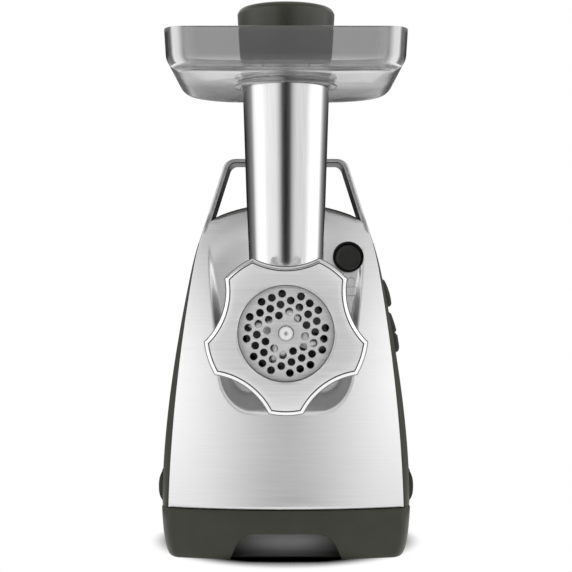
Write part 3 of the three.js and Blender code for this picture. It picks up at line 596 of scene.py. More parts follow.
# A pale grey with painted shade, darker towards the floor, as the shade seen through the base's arch.
NICHE_PAINTED_SHADE = painted_shade_below(moulded_plastic("niche_painted_shade", (0.5, 0.5, 0.505), grey(0.56), 0.6), 3, 19)
ICON = moulded_plastic("icon_grey", grey(0.42), grey(0.46), 0.5)
GRIP = moulded_plastic("grip_rubber", (0.027, 0.029, 0.021), (0.033, 0.035, 0.026), 0.5)
RUBBER = moulded_plastic("foot_rubber", (0.014, 0.014, 0.013), (0.020, 0.020, 0.019), 0.7, 0.6, 0.05)
NYLON = moulded_plastic("gear_nylon", (0.70, 0.67, 0.57), (0.78, 0.75, 0.66), 0.45)
CARBON = moulded_plastic("brush_carbon", (0.02, 0.02, 0.022), (0.035, 0.035, 0.04), 0.6)
BOARD = moulded_plastic("circuit_board", (0.02, 0.07, 0.03), (0.03, 0.10, 0.05), 0.4)
CLEAR = smoky_clear()
for dull, level in ((HOUSING, 0.28), (BLACK, 0.3)):
    shader_of(dull)[1].inputs["Specular IOR Level"].default_value = level


# ---- Housing ----
RECESS = Sizes(floor=110, half=37, slope=16.6 / 93, radius=15, back=-13, lean_from=135, lean=0.11, draft=0.33,
               floor_draft=0.41, fillet=7.0, lip=2.4)
BUTTON_AT = ((BUTTON_LOW.x + BUTTON_HIGH.x) / 2, (BUTTON_LOW.z + BUTTON_HIGH.z) / 2)
BUTTON_HOLE = 10.8


def recess_depth(x, z):
    """How far the recess's drafted walls stand in front of its back wall, at a point seen from in front."""
    tilt = math.hypot(1, RECESS.slope)
    side = (abs(x) - RECESS.half - RECESS.slope * (z - RECESS.floor)) / tilt / RECESS.draft
    below = (RECESS.floor - z) / RECESS.floor_draft
    r = RECESS.radius / RECESS.draft * 0.75
    return math.hypot(max(side + r, 0), max(below + r, 0)) - r + min(max(side + r, below + r), 0)


def soft_max(a, b, k):
    h = max(k - abs(a - b), 0) / k
    return max(a, b) + h * h * k / 4


def panel_surface(x, z):
    """The steel's front: the leaning face, the drafted recess, and the edge that rolls back."""
    face = panel_face(x, z)
    back = RECESS.back + RECESS.lean * max(0, z - RECESS.lean_from)
    wall = back - soft_max(recess_depth(x, z), 0, RECESS.fillet)
    y = soft_max(face, wall, RECESS.lip)
    middle = PANEL.apex - PANEL.arch
    edge_top = PANEL.arch - math.hypot(x, z - middle) if z > middle else math.inf
    roll = TOP_ROLL * (1 - clamped((abs(x) - 48) / 10))
    edge_side = half_width(z, PANEL) - abs(x)
    for edge, radius in ((edge_side, 0.5), (edge_top, roll), (z - PANEL.bottom, 0.8)):
        if edge < radius:
            y += 1.3 * (radius - math.sqrt(max(0.0, radius**2 - (radius - max(edge, 0)) ** 2)))
    return y


def front_panel():
    columns, rows = 230, 250
    # The columns crowd together towards the panel's sides.
    most = math.pi / 2 * 0.96
    spread = [math.sin((2 * i / columns - 1) * most) / math.sin(most) for i in range(columns + 1)]
    rings = []
    for z in heights(PANEL.bottom, PANEL.apex - 0.06, rows):
        half = half_width(z, PANEL)
        rings.append([(half * share, panel_surface(half * share, z), z) for share in spread])
    panel = loft("front_panel_steel", rings, closed=False, caps=False)
    thicken(panel, PANEL_SKIN - 0.3)
    cut(panel, cylinder("hole", BUTTON_HOLE, -60, 30, (BUTTON_AT[0], 0, BUTTON_AT[1]), segments=96))
    sharpen(panel, 50)
    finish(panel, "root", "brushed_panel", PANEL_STEEL, "front_panel")


def rounded_back(half, back, z):
    """The squarish curve from the housing's side round to the middle of its back, at one level."""
    points = []
    for turn in quarter_turn(40, 1):
        x = half * max(0.0, math.cos(turn)) ** (2 / SQUARENESS)
        y = SHELL_MIDDLE + (back - SHELL_MIDDLE) * math.sin(turn) ** (2 / SQUARENESS)
        points.append((x, y, z))
    return points


def shell_row(z):
    """One level of the shell, from the seam on the left, round the back, to the seam on the right."""
    wide = max(0.8, half_width(z, SHELL))
    seam = min(half_width(z, PANEL) + 0.2, wide - 0.1)
    corner = panel_face(seam, z) + PANEL_SKIN + 0.3
    flare_end = min(corner + 32, SHELL_MIDDLE)
    right = []
    for turn in quarter_turn(12):
        x = seam + (wide - seam) * math.sin(turn)
        right.append((x, corner + (flare_end - corner) * (1 - math.cos(turn)), z))
    right += rounded_back(wide, shell_back(z), z)
    left = [(-x, y, z) for x, y, z in right[:-1]]
    return left + list(reversed(right))


def rear_shell():
    rings = [shell_row(z) for z in heights(SHELL.bottom, SHELL.apex - 0.02, 70)]
    shell = loft("rear_shell_moulding", rings, closed=False, caps=False)
    weld(shell, 0.05)
    thicken(shell, 2.6)
    gap = 0.5
    for low, high in ((REVERSE_LOW, REVERSE_HIGH), (ROCKER_LOW, ROCKER_HIGH)):
        opening = box_outline(low.y - gap, low.z - gap, high.y + gap, high.z + gap, 4)
        cut(shell, prism("opening", opening, 55, 100, "X"))
    for row in range(6):
        z = 62 + row * 9
        cut(shell, prism("vent", box_outline(-34, z, 34, z + 4, 1.9, 6), 135, 160))
    gland = cad_middle("cable_gland")
    cut(shell, cylinder("inlet", 7, 130, 170, (gland.x, 0, gland.z)))
    sharpen(shell, 40)
    finish(shell, "root", "housing_plastic", HOUSING, "rear_shell")


BASE_LEVELS = [
    # height, half-width, front, front bulge at the side
    (1.5, 79.6, -48.2, 12), (2.4, 80.4, -49.2, 12), (5.0, 81.5, -50.3, 12.5), (10, 82.9, -51.2, 13),
    (18, 84.1, -52, 14), (26, 84.8, -52.2, 14), (33.2, 85.2, -52.2, 14), (34.6, 84.5, -51.2, 14),
]
BASE_WIDEST = 85.2
ARCH_TOP, ARCH_TOP_HALF, ARCH_FOOT_HALF, NICHE_BACK = 19.2, 30, 40.2, -34


def base_row(z, half, toe, bulge):
    """One level of the base, all the way round: the bowed front, its rounded corners and the back."""
    corner_wide, corner_deep, steps = 9, 22, 24
    shoulder = half - corner_wide

    def face(x):
        return toe + bulge * (x / 80) ** 2

    right = [(shoulder * i / steps, face(shoulder * i / steps), z) for i in range(steps + 1)]
    for turn in quarter_turn(10, 1):
        y = face(shoulder) + corner_deep * (1 - math.cos(turn))
        right.append((shoulder + corner_wide * math.sin(turn), y, z))
    right += rounded_back(half, BACK.y - (BASE_WIDEST - half), z)
    left = [(-x, y, z) for x, y, z in right[1:-1]]
    return right + list(reversed(left))


def arch_outline(grow):
    foot, half, top = ARCH_FOOT_HALF + grow, ARCH_TOP_HALF + grow, ARCH_TOP + grow
    return rounded([(-foot, -5, 0), (foot, -5, 0), (half, top, 15), (-half, top, 15)], 16)


def cut_arch(obj):
    return cut(obj, prism("arch", arch_outline(0), -80, NICHE_BACK))


def cut_below(obj, height):
    return cut(obj, prism("below", box_outline(-99, -20, 99, height), -99, 99))


def base_skirt():
    skirt = loft("base_skirt_moulding", [base_row(*level) for level in BASE_LEVELS])
    inner = [base_row(z, half - 3, toe + 3, bulge) for z, half, toe, bulge in BASE_LEVELS]
    inner[0] = [(x, y, -5) for x, y, _ in inner[0]]
    inner[-1] = [(x, y, 40) for x, y, _ in inner[-1]]
    hollow = loft("hollow", inner)
    liner = prism("liner", arch_outline(2), -45, NICHE_BACK + 2)
    cut_below(liner, 0.9)
    cut_arch(cut(skirt, hollow))
    join(skirt, cut_arch(liner))
    round_edges(skirt, 0.9, 3, 50)
    finish(skirt, "root", "housing_plastic", HOUSING, "base_skirt")
    # The niche's back wall carries the painted shade that darkens towards the floor.
    back = prism("niche_back", arch_outline(-0.05), NICHE_BACK - 0.4, NICHE_BACK - 0.05)
    cut_below(back, 1.6)
    finish(back, "root", "housing_plastic", NICHE_PAINTED_SHADE)


# The strap follows the panel up to blend_from and is upright above blend. Its feet sink into the panel.
HANDLE = Sizes(foot=214, blend_from=226, blend=244, outer_foot=67, outer_top=42.7, base=196, arm=3.9,
               bar=3.0, corner=9.5, front=5.5, back=45, sunk=0.5, proud=0.35, fade_from=220, fade=4,
               raised=0.6, edge=1.2)


def handle_path():
    """The strap's centre line, left foot to right foot, as (x, z)."""
    top = cad_box("carry_handle")[1].z + HANDLE.raised
    slope = (HANDLE.outer_foot - HANDLE.outer_top) / (top - HANDLE.base)
    half = HANDLE.arm / 2
    top_half = HANDLE.outer_top - half
    foot_half = HANDLE.outer_foot - slope * (HANDLE.foot - HANDLE.base) - half
    radius = HANDLE.corner - half
    bar = top - HANDLE.bar / 2
    outline = rounded([(-foot_half, HANDLE.foot, 0), (-top_half, bar, radius),
                       (top_half, bar, radius), (foot_half, HANDLE.foot, 0)], 16)
    points = []
    for (x0, z0), (x1, z1) in zip(outline, outline[1:]):
        steps = max(1, round(math.hypot(x1 - x0, z1 - z0) / 1.5))
        points += [(x0 + (x1 - x0) * i / steps, z0 + (z1 - z0) * i / steps) for i in range(steps)]
    return points + [outline[-1]]


def carry_handle():
    path = handle_path()
    rings = []
    inside = []
    for i, (x, z) in enumerate(path):
        before, after = path[max(0, i - 1)], path[min(len(path) - 1, i + 1)]
        along = Vector((after[0] - before[0], after[1] - before[1])).normalized()
        across = Vector((-along.y, along.x))
        half = (HANDLE.arm + (HANDLE.bar - HANDLE.arm) * abs(along.x) ** 4) / 2
        rise = clamped((z - HANDLE.blend_from) / (HANDLE.blend - HANDLE.blend_from))
        ease = rise * rise * (3 - 2 * rise)
        proud = clamped((z - HANDLE.fade_from) / HANDLE.fade)
        lift = HANDLE.sunk - (HANDLE.sunk + HANDLE.proud) * proud
        front = (panel_face(x, z) + lift) * (1 - ease) + HANDLE.front * ease
        section = box_outline(-half, front, half, HANDLE.back, HANDLE.edge, 6)
        rings.append([(x + a * across.x, y, z + a * across.y) for a, y in section])
        # The strap's inner side is marked for painted shade.
        inside += [a < -half + 0.7 for a, _ in section]
    loop = loft("carry_handle_strap", rings)
    mark(loop, "painted_shade", inside)
    sharpen(weld(loop), 60)
    finish(loop, "root", "handle_steel", HANDLE_STEEL, "carry_handle")


def feet():
    profile = [(0, 0.6), (3, 0.6), (3.4, 0), (7.2, 0), (8.4, 0.5), (9, 1.6), (9, 4.2), (8.6, 4.7), (0, 4.7)]
    for place in ("front_left", "front_right", "rear_left", "rear_right"):
        node = f"foot_{place}"
        centre = cad_middle(node)
        foot = turned(node + "_rubber", profile, (centre.x, centre.y, 0), "Z", 64)
        finish(sharpen(foot), "root", "foot_rubber", RUBBER, node)


GRIP_PAD = Sizes(root=84.2, face=86, bow=2.6)


def pillow(pad, side, low, high):
    """Bows a pad's outer face, so that it fades into the shell above and below."""
    middle, reach = (low.z + high.z) / 2, (high.z - low.z) / 2
    with editing(pad) as bm:
        bmesh.ops.subdivide_edges(bm, edges=bm.edges, cuts=12, use_grid_fill=True)
        for vert in bm.verts:
            if vert.co.x / MM * side > GRIP_PAD.face:
                share = clamped(abs(vert.co.z / MM - middle) / reach)
                vert.co.x -= side * GRIP_PAD.bow * MM * share**2.5


def side_grips():
    for side, node in ((-1, "side_grip_left"), (1, "side_grip_right")):
        low, high = cad_box(node)
        ends = sorted((side * GRIP_PAD.root, high.x if side > 0 else low.x))
        pad = prism(node + "_pad", box_outline(low.y, low.z, high.y, high.z, 6), *ends, "X")
        pillow(pad, side, low, high)
        round_edges(pad, 0.8, 3, 40)
        finish(pad, "root", "foot_rubber", GRIP, node)


def rear_details():
    for i in range(4):
        node = f"shell_screw_{i + 1}"
        start, end = (corner.y for corner in cad_box(node))
        centre = cad_middle(node)
        profile = [(0, start), (2, start), (2, end - 2.2), (4.3, end - 2.2), (4.3, end - 0.9),
                   (3.4, end - 0.1), (0, end)]
        screw = turned(node + "_head", profile, (centre.x, 0, centre.z), segments=48)
        for degrees in (0, 90):
            turn = Matrix.Rotation(math.radians(degrees + 20 * i), 2)
            slot = [turn @ Vector(p) for p in box_outline(-2.3, -0.4, 2.3, 0.4)]
            cut(screw, prism("slot", [(centre.x + p.x, centre.z + p.y) for p in slot], end - 1.3, end + 2))
        finish(sharpen(screw), "root", "cast_metal", CAST_METAL, node)
    start, end = (corner.y for corner in cad_box("cable_gland"))
    centre = cad_middle("cable_gland")
    profile = [(0, start), (9.6, start), (9.6, end - 8.4), (6.5, end - 8.4), (6.5, end - 4.6),
               (8.6, end - 4.4), (9, end - 3.8), (8.1, end - 0.5), (7.6, end), (4.2, end),
               (3.9, end - 1), (3.9, end - 8), (0, end - 8)]
    gland = turned("cable_gland_moulding", profile, (centre.x, 0, centre.z), segments=64)
    finish(sharpen(gland), "root", "black_plastic", BLACK, "cable_gland")


# ---- Grinding head ----
NECK_RADIUS, NECK_SLOPE, NECK_WALL = 27.85, 0.033, 2.0
BARREL = Sizes(front=-144, rear=-14, radius=34, bore=26.8, bore_end=-30, seat=31.4, seat_end=-139.4)


def neck_radius(z):
    return NECK_RADIUS - NECK_SLOPE * (NECK_TOP - z)


def head_body():
    """The barrel lies along Y and the tall tapered neck stands on it."""
    front, rear, radius = BARREL.front, BARREL.rear, BARREL.radius
    collar = radius + 0.6
    profile = [(0, front), (radius - 1.1, front), (radius, front + 1), (radius, rear - 16),
               (collar, rear - 15), (collar, rear - 5), (radius, rear - 4), (radius, rear - 0.3),
               (radius - 0.3, rear), (0, rear)]
    barrel = turned("head_casting", profile, BARREL_AXIS, segments=128)
    foot = AXIS_Z + 12
    steps = 40
    outside = [(0, foot)]
    for i in range(steps + 1):
        z = foot + (NECK_TOP - foot) * i / steps
        outside.append((neck_radius(z) - 0.4 * (i == steps), z))
    outside.append((0, NECK_TOP))
    join(barrel, turned("neck", outside, NECK_AXIS, "Z", 128))
    inside = [(0, foot - 2), (neck_radius(foot) - NECK_WALL, foot - 2),
              (neck_radius(NECK_TOP) - NECK_WALL, NECK_TOP + 1), (0, NECK_TOP + 1)]
    cut(barrel, turned("bore", inside, NECK_AXIS, "Z", 96))
    bore = [(0, front - 6), (BARREL.seat, front - 6), (BARREL.seat, BARREL.seat_end),
            (BARREL.bore, BARREL.seat_end), (BARREL.bore, BARREL.bore_end), (0, BARREL.bore_end)]
    cut(barrel, turned("bore", bore, BARREL_AXIS), cylinder("bore", 9, -40, -10, BARREL_AXIS))
    sharpen(barrel, 38)
    finish(barrel, "head", "polished_steel", TUBE_STEEL, "head_body")


PLATE_PITCH, PLATE_TURN, HOLE_RADIUS = 6.67, 21.7, 2.35


def plate_holes():
    """Centres of the 48 holes, on a triangular grid with the middle seven left out."""
    turn = Matrix.Rotation(math.radians(PLATE_TURN), 2)
    holes = []
    for i in range(-4, 5):
        for j in range(-4, 5):
            point = Vector((i + j / 2, j * math.sqrt(3) / 2))
            if 1.5 < point.length < 3.7:
                holes.append(turn @ point * PLATE_PITCH)
    return holes


def cutting_plate():
    front, back = PLATE_LOW.y, PLATE_HIGH.y
    radius = (PLATE_HIGH.x - PLATE_LOW.x) / 2
    profile = [(0, front), (radius - 0.5, front), (radius, front + 0.5), (radius, back), (0, back)]
    plate = turned("cutting_plate_disc", profile, BARREL_AXIS, segments=128)
    profile = [(0, front - 1), (HOLE_RADIUS + 1.1, front - 1), (HOLE_RADIUS + 0.12, front),
               (HOLE_RADIUS, front + 0.2), (HOLE_RADIUS, back + 1), (0, back + 1)]
    centre = [(0, front - 1), (5.4, front - 1), (4.6, front + 0.3), (4.6, back + 1), (0, back + 1)]
    tools = [turned("hole", profile, (hole.x, 0, AXIS_Z + hole.y), segments=28) for hole in plate_holes()]
    tools.append(turned("hole", centre, BARREL_AXIS, segments=48))
    drill = tools[0]
    for tool in tools[1:]:
        merge(drill, tool)
    cut(plate, drill)
    sharpen(plate, 30)
    finish(plate, "head", "plate_steel", PLATE_STEEL, "cutting_plate")


RING = Sizes(lobe=49.8, valley=40.5, scallop=41.7, lobes=5, mouth=28.8, dome=2.3)


def ring_outline(inset):
    """The five-lobed outline, drawn inwards by an inset: arcs on the lobes and hollow arcs between."""
    step = 360 / RING.lobes
    lobe = RING.lobe - inset
    hollow = RING.scallop + inset
    centre = RING.valley + RING.scallop
    points = []
    for k in range(RING.lobes):
        middle = -90 + k * step
        valley = middle + step / 2
        # The angle, about the ring's middle, at which the lobe's circle meets the hollow's.
        cosine = (lobe**2 + centre**2 - hollow**2) / (2 * lobe * centre)
        meet = step / 2 - math.degrees(math.acos(cosine))
        points += arc(0, 0, lobe, middle - meet, middle + meet, 24)
        sweep = math.degrees(math.asin(lobe * math.sin(math.radians(step / 2 - meet)) / hollow))
        cx, cy = centre * math.cos(math.radians(valley)), centre * math.sin(math.radians(valley))
        points += arc(cx, cy, hollow, valley + 180 + sweep, valley + 180 - sweep, 40)[1:-1]
    return points


def ring_dome(radius):
    """How far the face falls back from the mouth's edge at a radius."""
    mouth = RING.mouth
    return RING.dome * (radius**2 - mouth**2) / (RING.lobe ** 2 - mouth**2)


def ring_point(point, radius, y):
    """A point at a radius from the ring's middle, in the direction of a point of its outline."""
    x, z = point
    length = math.hypot(x, z)
    return x / length * radius, y, AXIS_Z + z / length * radius


# The outside, as (outline's inset, depth behind the front, painted shade), from the face's edge to the rear
# rim.
RING_OUTSIDE = [
    (3.15, 0.1, 0), (3.05, 0.7, 1), (2.55, 0.7, 1), (2.45, 0.05, 0.5), (2.3, -0.08, 0), (1.5, 0.2, 0),
    (0.8, 0.7, 0), (0.6, 0.9, 0.5), (0.45, 1.1, 1), (0.08, 2.1, 1), (0, 2.7, 0.8), (0, 4.0, 0.2),
    (0, 20.6, 0.1), (0.3, 22.2, 0), (1.2, 23.4, 0), (2.4, 24, 0),
]
# The front face's rows, as shares of the way from its edge to the mouth.
RING_FACE = [0.15, 0.35, 0.55, 0.75, 0.92]
# The mouth and the bore behind it, as (radius beyond the mouth's, depth behind the front, painted shade).
RING_INSIDE = [
    (0.75, 0.04, 0), (0.55, 0.12, 0.7), (0.25, 0.3, 1), (0, 0.7, 1), (0, 4.6, 1), (5.8, 4.6, 0), (5.8, 24, 0),
]


def screw_ring():
    front, mouth = RING_FRONT, RING.mouth
    outline = ring_outline(3.0)
    inside = []
    for share in RING_FACE:
        row = []
        for point in outline:
            edge = math.hypot(*point)
            radius = edge + (mouth + 0.7 - edge) * share
            row.append(ring_point(point, radius, front + ring_dome(radius)))
        inside.append(row)
    for beyond, depth, _ in RING_INSIDE:
        inside.append([ring_point(point, mouth + beyond, front + depth) for point in outline])
    outside = []
    # The front of the outside follows the dome's fall at the face's edge, and the rear is flat.
    falls = [ring_dome(math.hypot(*point)) for point in ring_outline(RING_OUTSIDE[0][0])]
    for inset, depth, _ in RING_OUTSIDE:
        follows = clamped((20.6 - depth) / 14.6)
        outside.append([(x, front + depth + follows * fall, AXIS_Z + z)
                        for (x, z), fall in zip(ring_outline(inset), falls)])
    rings = list(reversed(inside)) + outside
    # The painted shade of each level, from the bore out over the face and round to the rear rim.
    painted_shades = [painted_shade for _, _, painted_shade in reversed(RING_INSIDE)] + [0] * len(RING_FACE)
    painted_shades += [painted_shade for _, _, painted_shade in RING_OUTSIDE] + [0]
    ring = loft("screw_ring_casting", rings + rings[:1], caps=False)
    chamfer = range(len(inside) + 3, len(inside) + 8)
    mark(ring, "polish", [level in chamfer for level in range(len(rings) + 1) for _ in outline])
    mark(ring, "painted_shade", [painted_shade for painted_shade in painted_shades for _ in outline])
    weld(ring, 0.002)
    sharpen(ring, 28)
    finish(ring, "ring", "ring_aluminium", RING_METAL, "screw_ring")


AUGER = Sizes(core_end=-13.5, flight_start=-130, flight_length=95, turns=3.25, steps=48)


def auger():
    """The screw's core with its flight, and the pin that shows in the middle of the plate."""
    front = cad_box("auger")[0].y
    profile = [(0, front), (3.5, front), (3.9, front + 0.15), (4.1, front + 0.5), (4.1, -133), (8.5, -133),
               (13.5, -37), (13.5, -31), (8, -31), (8, AUGER.core_end), (0, AUGER.core_end)]
    core = turned("auger_core", profile, BARREL_AXIS, segments=64)
    section = [(4, -3), (16, -1.9), (25.0, -1.5), (25.4, -1.1), (25.4, 1.1), (25.0, 1.5), (16, 1.9), (4, 3)]
    count = round(AUGER.steps * AUGER.turns)
    rings = []
    for i in range(count + 1):
        turn = i / AUGER.steps * 2 * math.pi
        y = AUGER.flight_start + AUGER.flight_length * i / count
        rings.append([(r * math.cos(turn), y + d, AXIS_Z + r * math.sin(turn)) for r, d in section])
    join(core, weld(loft("auger_flight", rings)), cylinder("shank", 6.2, -14, 0, BARREL_AXIS, segments=6))
    sharpen(core, 35)
    finish(core, "screw", "cast_metal", AUGER_METAL_PAINTED_DARK, "auger")


def cutting_knife():
    low, high = cad_box("cutting_knife")
    hub = cylinder("cutting_knife_blades", 9.5, low.y, high.y, BARREL_AXIS)
    blade = [(-3.4, 0), (4.6, 0), (5.6, 12), (5.0, 24), (3, 25.6), (-2.6, 25.6), (-3.8, 18), (-4.4, 9)]
    for i in range(4):
        turn = Matrix.Rotation(math.radians(90 * i - 17), 2)
        outline = [turn @ Vector(p) for p in blade]
        join(hub, prism("blade", [(p.x, AXIS_Z + p.y) for p in outline], low.y, high.y))
    cut(hub, cylinder("bore", 4.4, -150, -120, BARREL_AXIS, segments=32))
    round_edges(hub, 0.3, 2, 40)
    finish(hub, "screw", "plate_steel", BRIGHT_STEEL, "cutting_knife")


# ---- Tray and pusher ----
def tray_ring(z, inset):
    """The tray's outline at a height, drawn in by an inset."""
    low = (TRAY_HIGH.z - z) / TRAY.depth
    grow = -TRAY.flare * low - inset
    half = TRAY.rim_half + grow
    front, back = TRAY.front - grow, TRAY.back + grow
    near, far = TRAY.front_corner + grow * 0.3, TRAY.rear_corner + grow
    steps, pieces = 20, 16
    corners = [(-half, front, near), (half, front, near), (half, back, far), (-half, back, far)]
    outline = rounded(corners, steps)
    ring = []
    for i, (x, y) in enumerate(outline):
        ring.append((x, y, z))
        if i % (steps + 1) == steps:
            # The straight run to the next corner is split, so that marks can change along it.
            to_x, to_y = outline[(i + 1) % len(outline)]
            ring += [(x + (to_x - x) * k / pieces, y + (to_y - y) * k / pieces, z) for k in range(1, pieces)]
    return ring


def tray_wall(floor, rim, inset, radius):
    """Rings from a flat floor up through the rounded bottom edge to just under the rim."""
    rings = []
    for turn in quarter_turn(10):
        rings.append(tray_ring(floor + radius * (1 - math.cos(turn)), inset + radius * (1 - math.sin(turn))))
    for i in range(1, 7):
        rings.append(tray_ring(floor + radius + (rim - floor - radius) * i / 6, inset))
    return rings


def across_tray(point, widest):
    """How near a point is to the side of the front wall, from 0 to 1, fading round the corner and below."""
    x, y, z = point
    above = min(1.0, (z - TRAY_HIGH.z + TRAY.depth) / 3)
    behind = clamped((y - TRAY.front - TRAY.front_corner) / 14)
    return abs(x) / widest * above * (1 - 0.4 * behind)


def hopper_tray():
    floor, rim, wall = TRAY_HIGH.z - TRAY.depth, TRAY_HIGH.z, TRAY.wall
    outer = tray_wall(floor, rim - 0.8, 0, TRAY.fillet)
    inner = tray_wall(floor + wall, rim - 0.8, wall, TRAY.fillet - wall)
    edge = [(0.25, 0.2), (0, 0.75), (0, wall - 0.75), (0.25, wall - 0.2)]
    lip = [tray_ring(rim - drop, inset) for drop, inset in edge]
    rings = outer + lip + list(reversed(inner))
    tray = loft("hopper_tray_moulding", rings)
    across = []
    for ring in rings:
        widest = max(x for x, _, _ in ring)
        across += [across_tray(point, widest) for point in ring]
    mark(tray, "across", across)
    # Levels 3 and 4, on the rounded bottom edge, take the painted dark line.
    mark(tray, "seam", [level in (3, 4) for level in range(len(rings)) for _ in rings[0]])
    weld(tray)
    foot = TRAY_LOW.z
    profile = [(0, foot + 1), (30.2, foot + 1), (31.2, foot), (32.4, foot + 0.2), (32.6, foot + 1.2),
               (31.4, foot + 2.2), (31.3, floor + 1), (0, floor + 1)]
    join(tray, turned("collar", profile, NECK_AXIS, "Z"))
    cut(tray, cylinder("hole", NECK_RADIUS + 0.5, 300, 330, NECK_AXIS, "Z", 96))
    sharpen(tray, 40)
    finish(tray, "tray", "tray_clear", CLEAR, "hopper_tray")


PUSHER = Sizes(cap=41.2, foot=28.5, shoulder=5.8, dome=4.6)


def food_pusher():
    top, stem = PUSHER_HIGH.z, PUSHER_LOW.z
    radius = (PUSHER_HIGH.x - PUSHER_LOW.x) / 2
    cap, shoulder = top - PUSHER.cap, top - PUSHER.shoulder
    # The stem is hollow from below, and the cap flares a little towards its shoulder.
    profile = [(0, stem + 40), (18.4, stem + 40), (18.6, stem + 0.4), (19, stem), (20.2, stem),
               (20.6, stem + 0.5), (20.6, cap), (27.8, cap), (28.3, cap + 0.6), (28.5, cap + 2)]
    for i in range(9):
        width = PUSHER.foot + (radius - PUSHER.foot) * (i / 8) ** 0.8
        profile.append((width, cap + 2 + (shoulder - cap - 2) * i / 8))
    # A fine step under the rounded shoulder, then the shallow dome.
    for inset, rise in ((0, 0.3), (0.3, 0.45), (0.35, 0.8), (0.7, 1.9), (1.5, 2.9), (2.8, 3.7), (4.6, 4.2)):
        profile.append((radius - inset, shoulder + rise))
    for i in range(1, 11):
        profile.append(((radius - PUSHER.dome) * (1 - i / 10), top - 1.6 * (1 - i / 10) ** 2))
    pusher = turned("food_pusher_cap", profile, NECK_AXIS, "Z", 128)
    sharpen(pusher, 32)
    finish(pusher, "pusher", "pusher_plastic", PUSHER_PLASTIC, "food_pusher")


# ---- Controls ----
def on_panel(name, x, z, profile):
    """A round piece set in the panel, from (radius, depth behind the panel's face)."""
    rings = []
    for radius, depth in profile:
        ring = []
        for i in range(96):
            turn = 2 * math.pi * i / 96
            px, pz = x + radius * math.cos(turn), z + radius * math.sin(turn)
            ring.append((px, panel_face(px, pz) + depth, pz))
        rings.append(ring)
    return weld(loft(name, rings, caps=profile[0] != profile[-1]))


def lock_button():
    x, z = BUTTON_AT
    radius = (BUTTON_HIGH.x - BUTTON_LOW.x) / 2
    profile = [(3, 7), (radius, 7), (radius, 1.2), (radius - 0.15, 0.6), (radius - 0.45, 0.25),
               (radius - 0.8, 0.1), (radius - 1.15, 0.2), (radius - 1.4, 0.45), (radius - 1.9, 0.5),
               (4, 0.55), (0.2, 0.55)]
    button = on_panel("lock_button_cap", x, z - 0.35, profile)
    finish(sharpen(button, 40), "lock", "black_plastic", BLACK, "lock_button")
    outer, inner = 10.75, 9.4
    profile = [(inner, 9), (inner, 3.6), (outer, 2.7), (outer, 9), (inner, 9)]
    finish(sharpen(on_panel("lock_bezel_ring", x, z, profile)), "root", "black_plastic", RUBBER, "lock_bezel")


def lock_icon():
    """A small generic padlock engraved under the button: its body, and its shackle above."""
    x, z = BUTTON_AT[0] + 2, BUTTON_AT[1] - 24
    for i, (rise, wide, tall, radius) in enumerate(((0, 7.6, 6.0, 1.0), (6.2, 4.8, 6.4, 2.3))):
        outline = box_outline(x - wide / 2, z + rise - tall / 2, x + wide / 2, z + rise + tall / 2, radius, 5)
        rings = []
        for grow, lift in ((0.07, 0.06), (0.07, -0.04), (-0.07, -0.04), (-0.07, 0.06), (0.07, 0.06)):
            rings.append([(px + (px - x) * grow, panel_surface(px, pz) + lift, pz + (pz - z) * grow)
                          for px, pz in outline])
        finish(weld(loft(f"lock_icon_{i + 1}", rings, caps=False)), "root", "brushed_panel", ICON)


CONTROL = Sizes(rise=2.4, peak=0.36, groove=1.6, groove_at=0.49, groove_width=0.03)


def side_control(name, low, high, body, node, split):
    """A rounded cap in the shell's side, proudest above its foot, and split by a groove when it rocks."""
    rows, columns = 28, 20
    peak = CONTROL.peak
    root = side_half(low.z, SHELL) - 13
    rings = []
    for i in range(rows + 1):
        z = low.z + (high.z - low.z) * i / rows
        share = i / rows
        fall = ((share - peak) / (1 - peak)) ** 2 if share > peak else ((peak - share) / peak) ** 6
        rise = 1.0 + CONTROL.rise * max(0.0, 1 - fall)
        if split:
            away = (share - CONTROL.groove_at) / CONTROL.groove_width
            rise += 0.35 - CONTROL.groove * math.exp(-(away**2))
        if i in (0, rows):
            rise = 0.0
        row = []
        for j in range(columns + 1):
            edge = abs(j / columns - 0.5) * 2
            x = side_half(z, SHELL) + max(0.0, rise) * (1 - edge**6) ** 0.5 - 0.4
            row.append((x, low.y + (high.y - low.y) * j / columns, z))
        rings.append(row + [(root, high.y, z), (root, low.y, z)])
    cap = weld(loft(name, rings))
    finish(sharpen(cap, 50), body, "black_plastic", BLACK, node)


# ---- Hidden pieces keep their CAD shape and take a finished material ----
INNER = [
    (CAST_METAL, ["head_socket", "output_bushing", "plate_key", "lock_bolt", "gearbox_front_plate",
                  "gearbox_case", "gearbox_rear_plate", "drive_shaft", "output_gear", "motor_pinion",
                  "motor_shaft", "motor_bracket"]),
    (NYLON, ["second_gear", "first_gear", "cooling_fan"]),
    (COPPER, ["armature_core", "commutator"]),
    (LAMINATIONS, ["motor_stator"]),
    (BRIGHT_STEEL, ["front_bearing", "rear_bearing"]),
    (CARBON, ["brush_left", "brush_right"]),
    (BOARD, ["control_board"]),
    (BLACK, ["reverse_switch", "power_switch", "bottom_plate"]),
    (RUBBER, ["motor_cradle"]),
]


def inner_pieces():
    for material, nodes in INNER:
        for node in nodes:
            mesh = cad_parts[node].data
            mesh.materials.clear()
            mesh.materials.append(material)


# ---- Stage, light and camera ----
SHADOW = Sizes(reach=45, dark=0.42, light=0.98, middle=47, half_width=100, half_depth=122, fade=0.22)


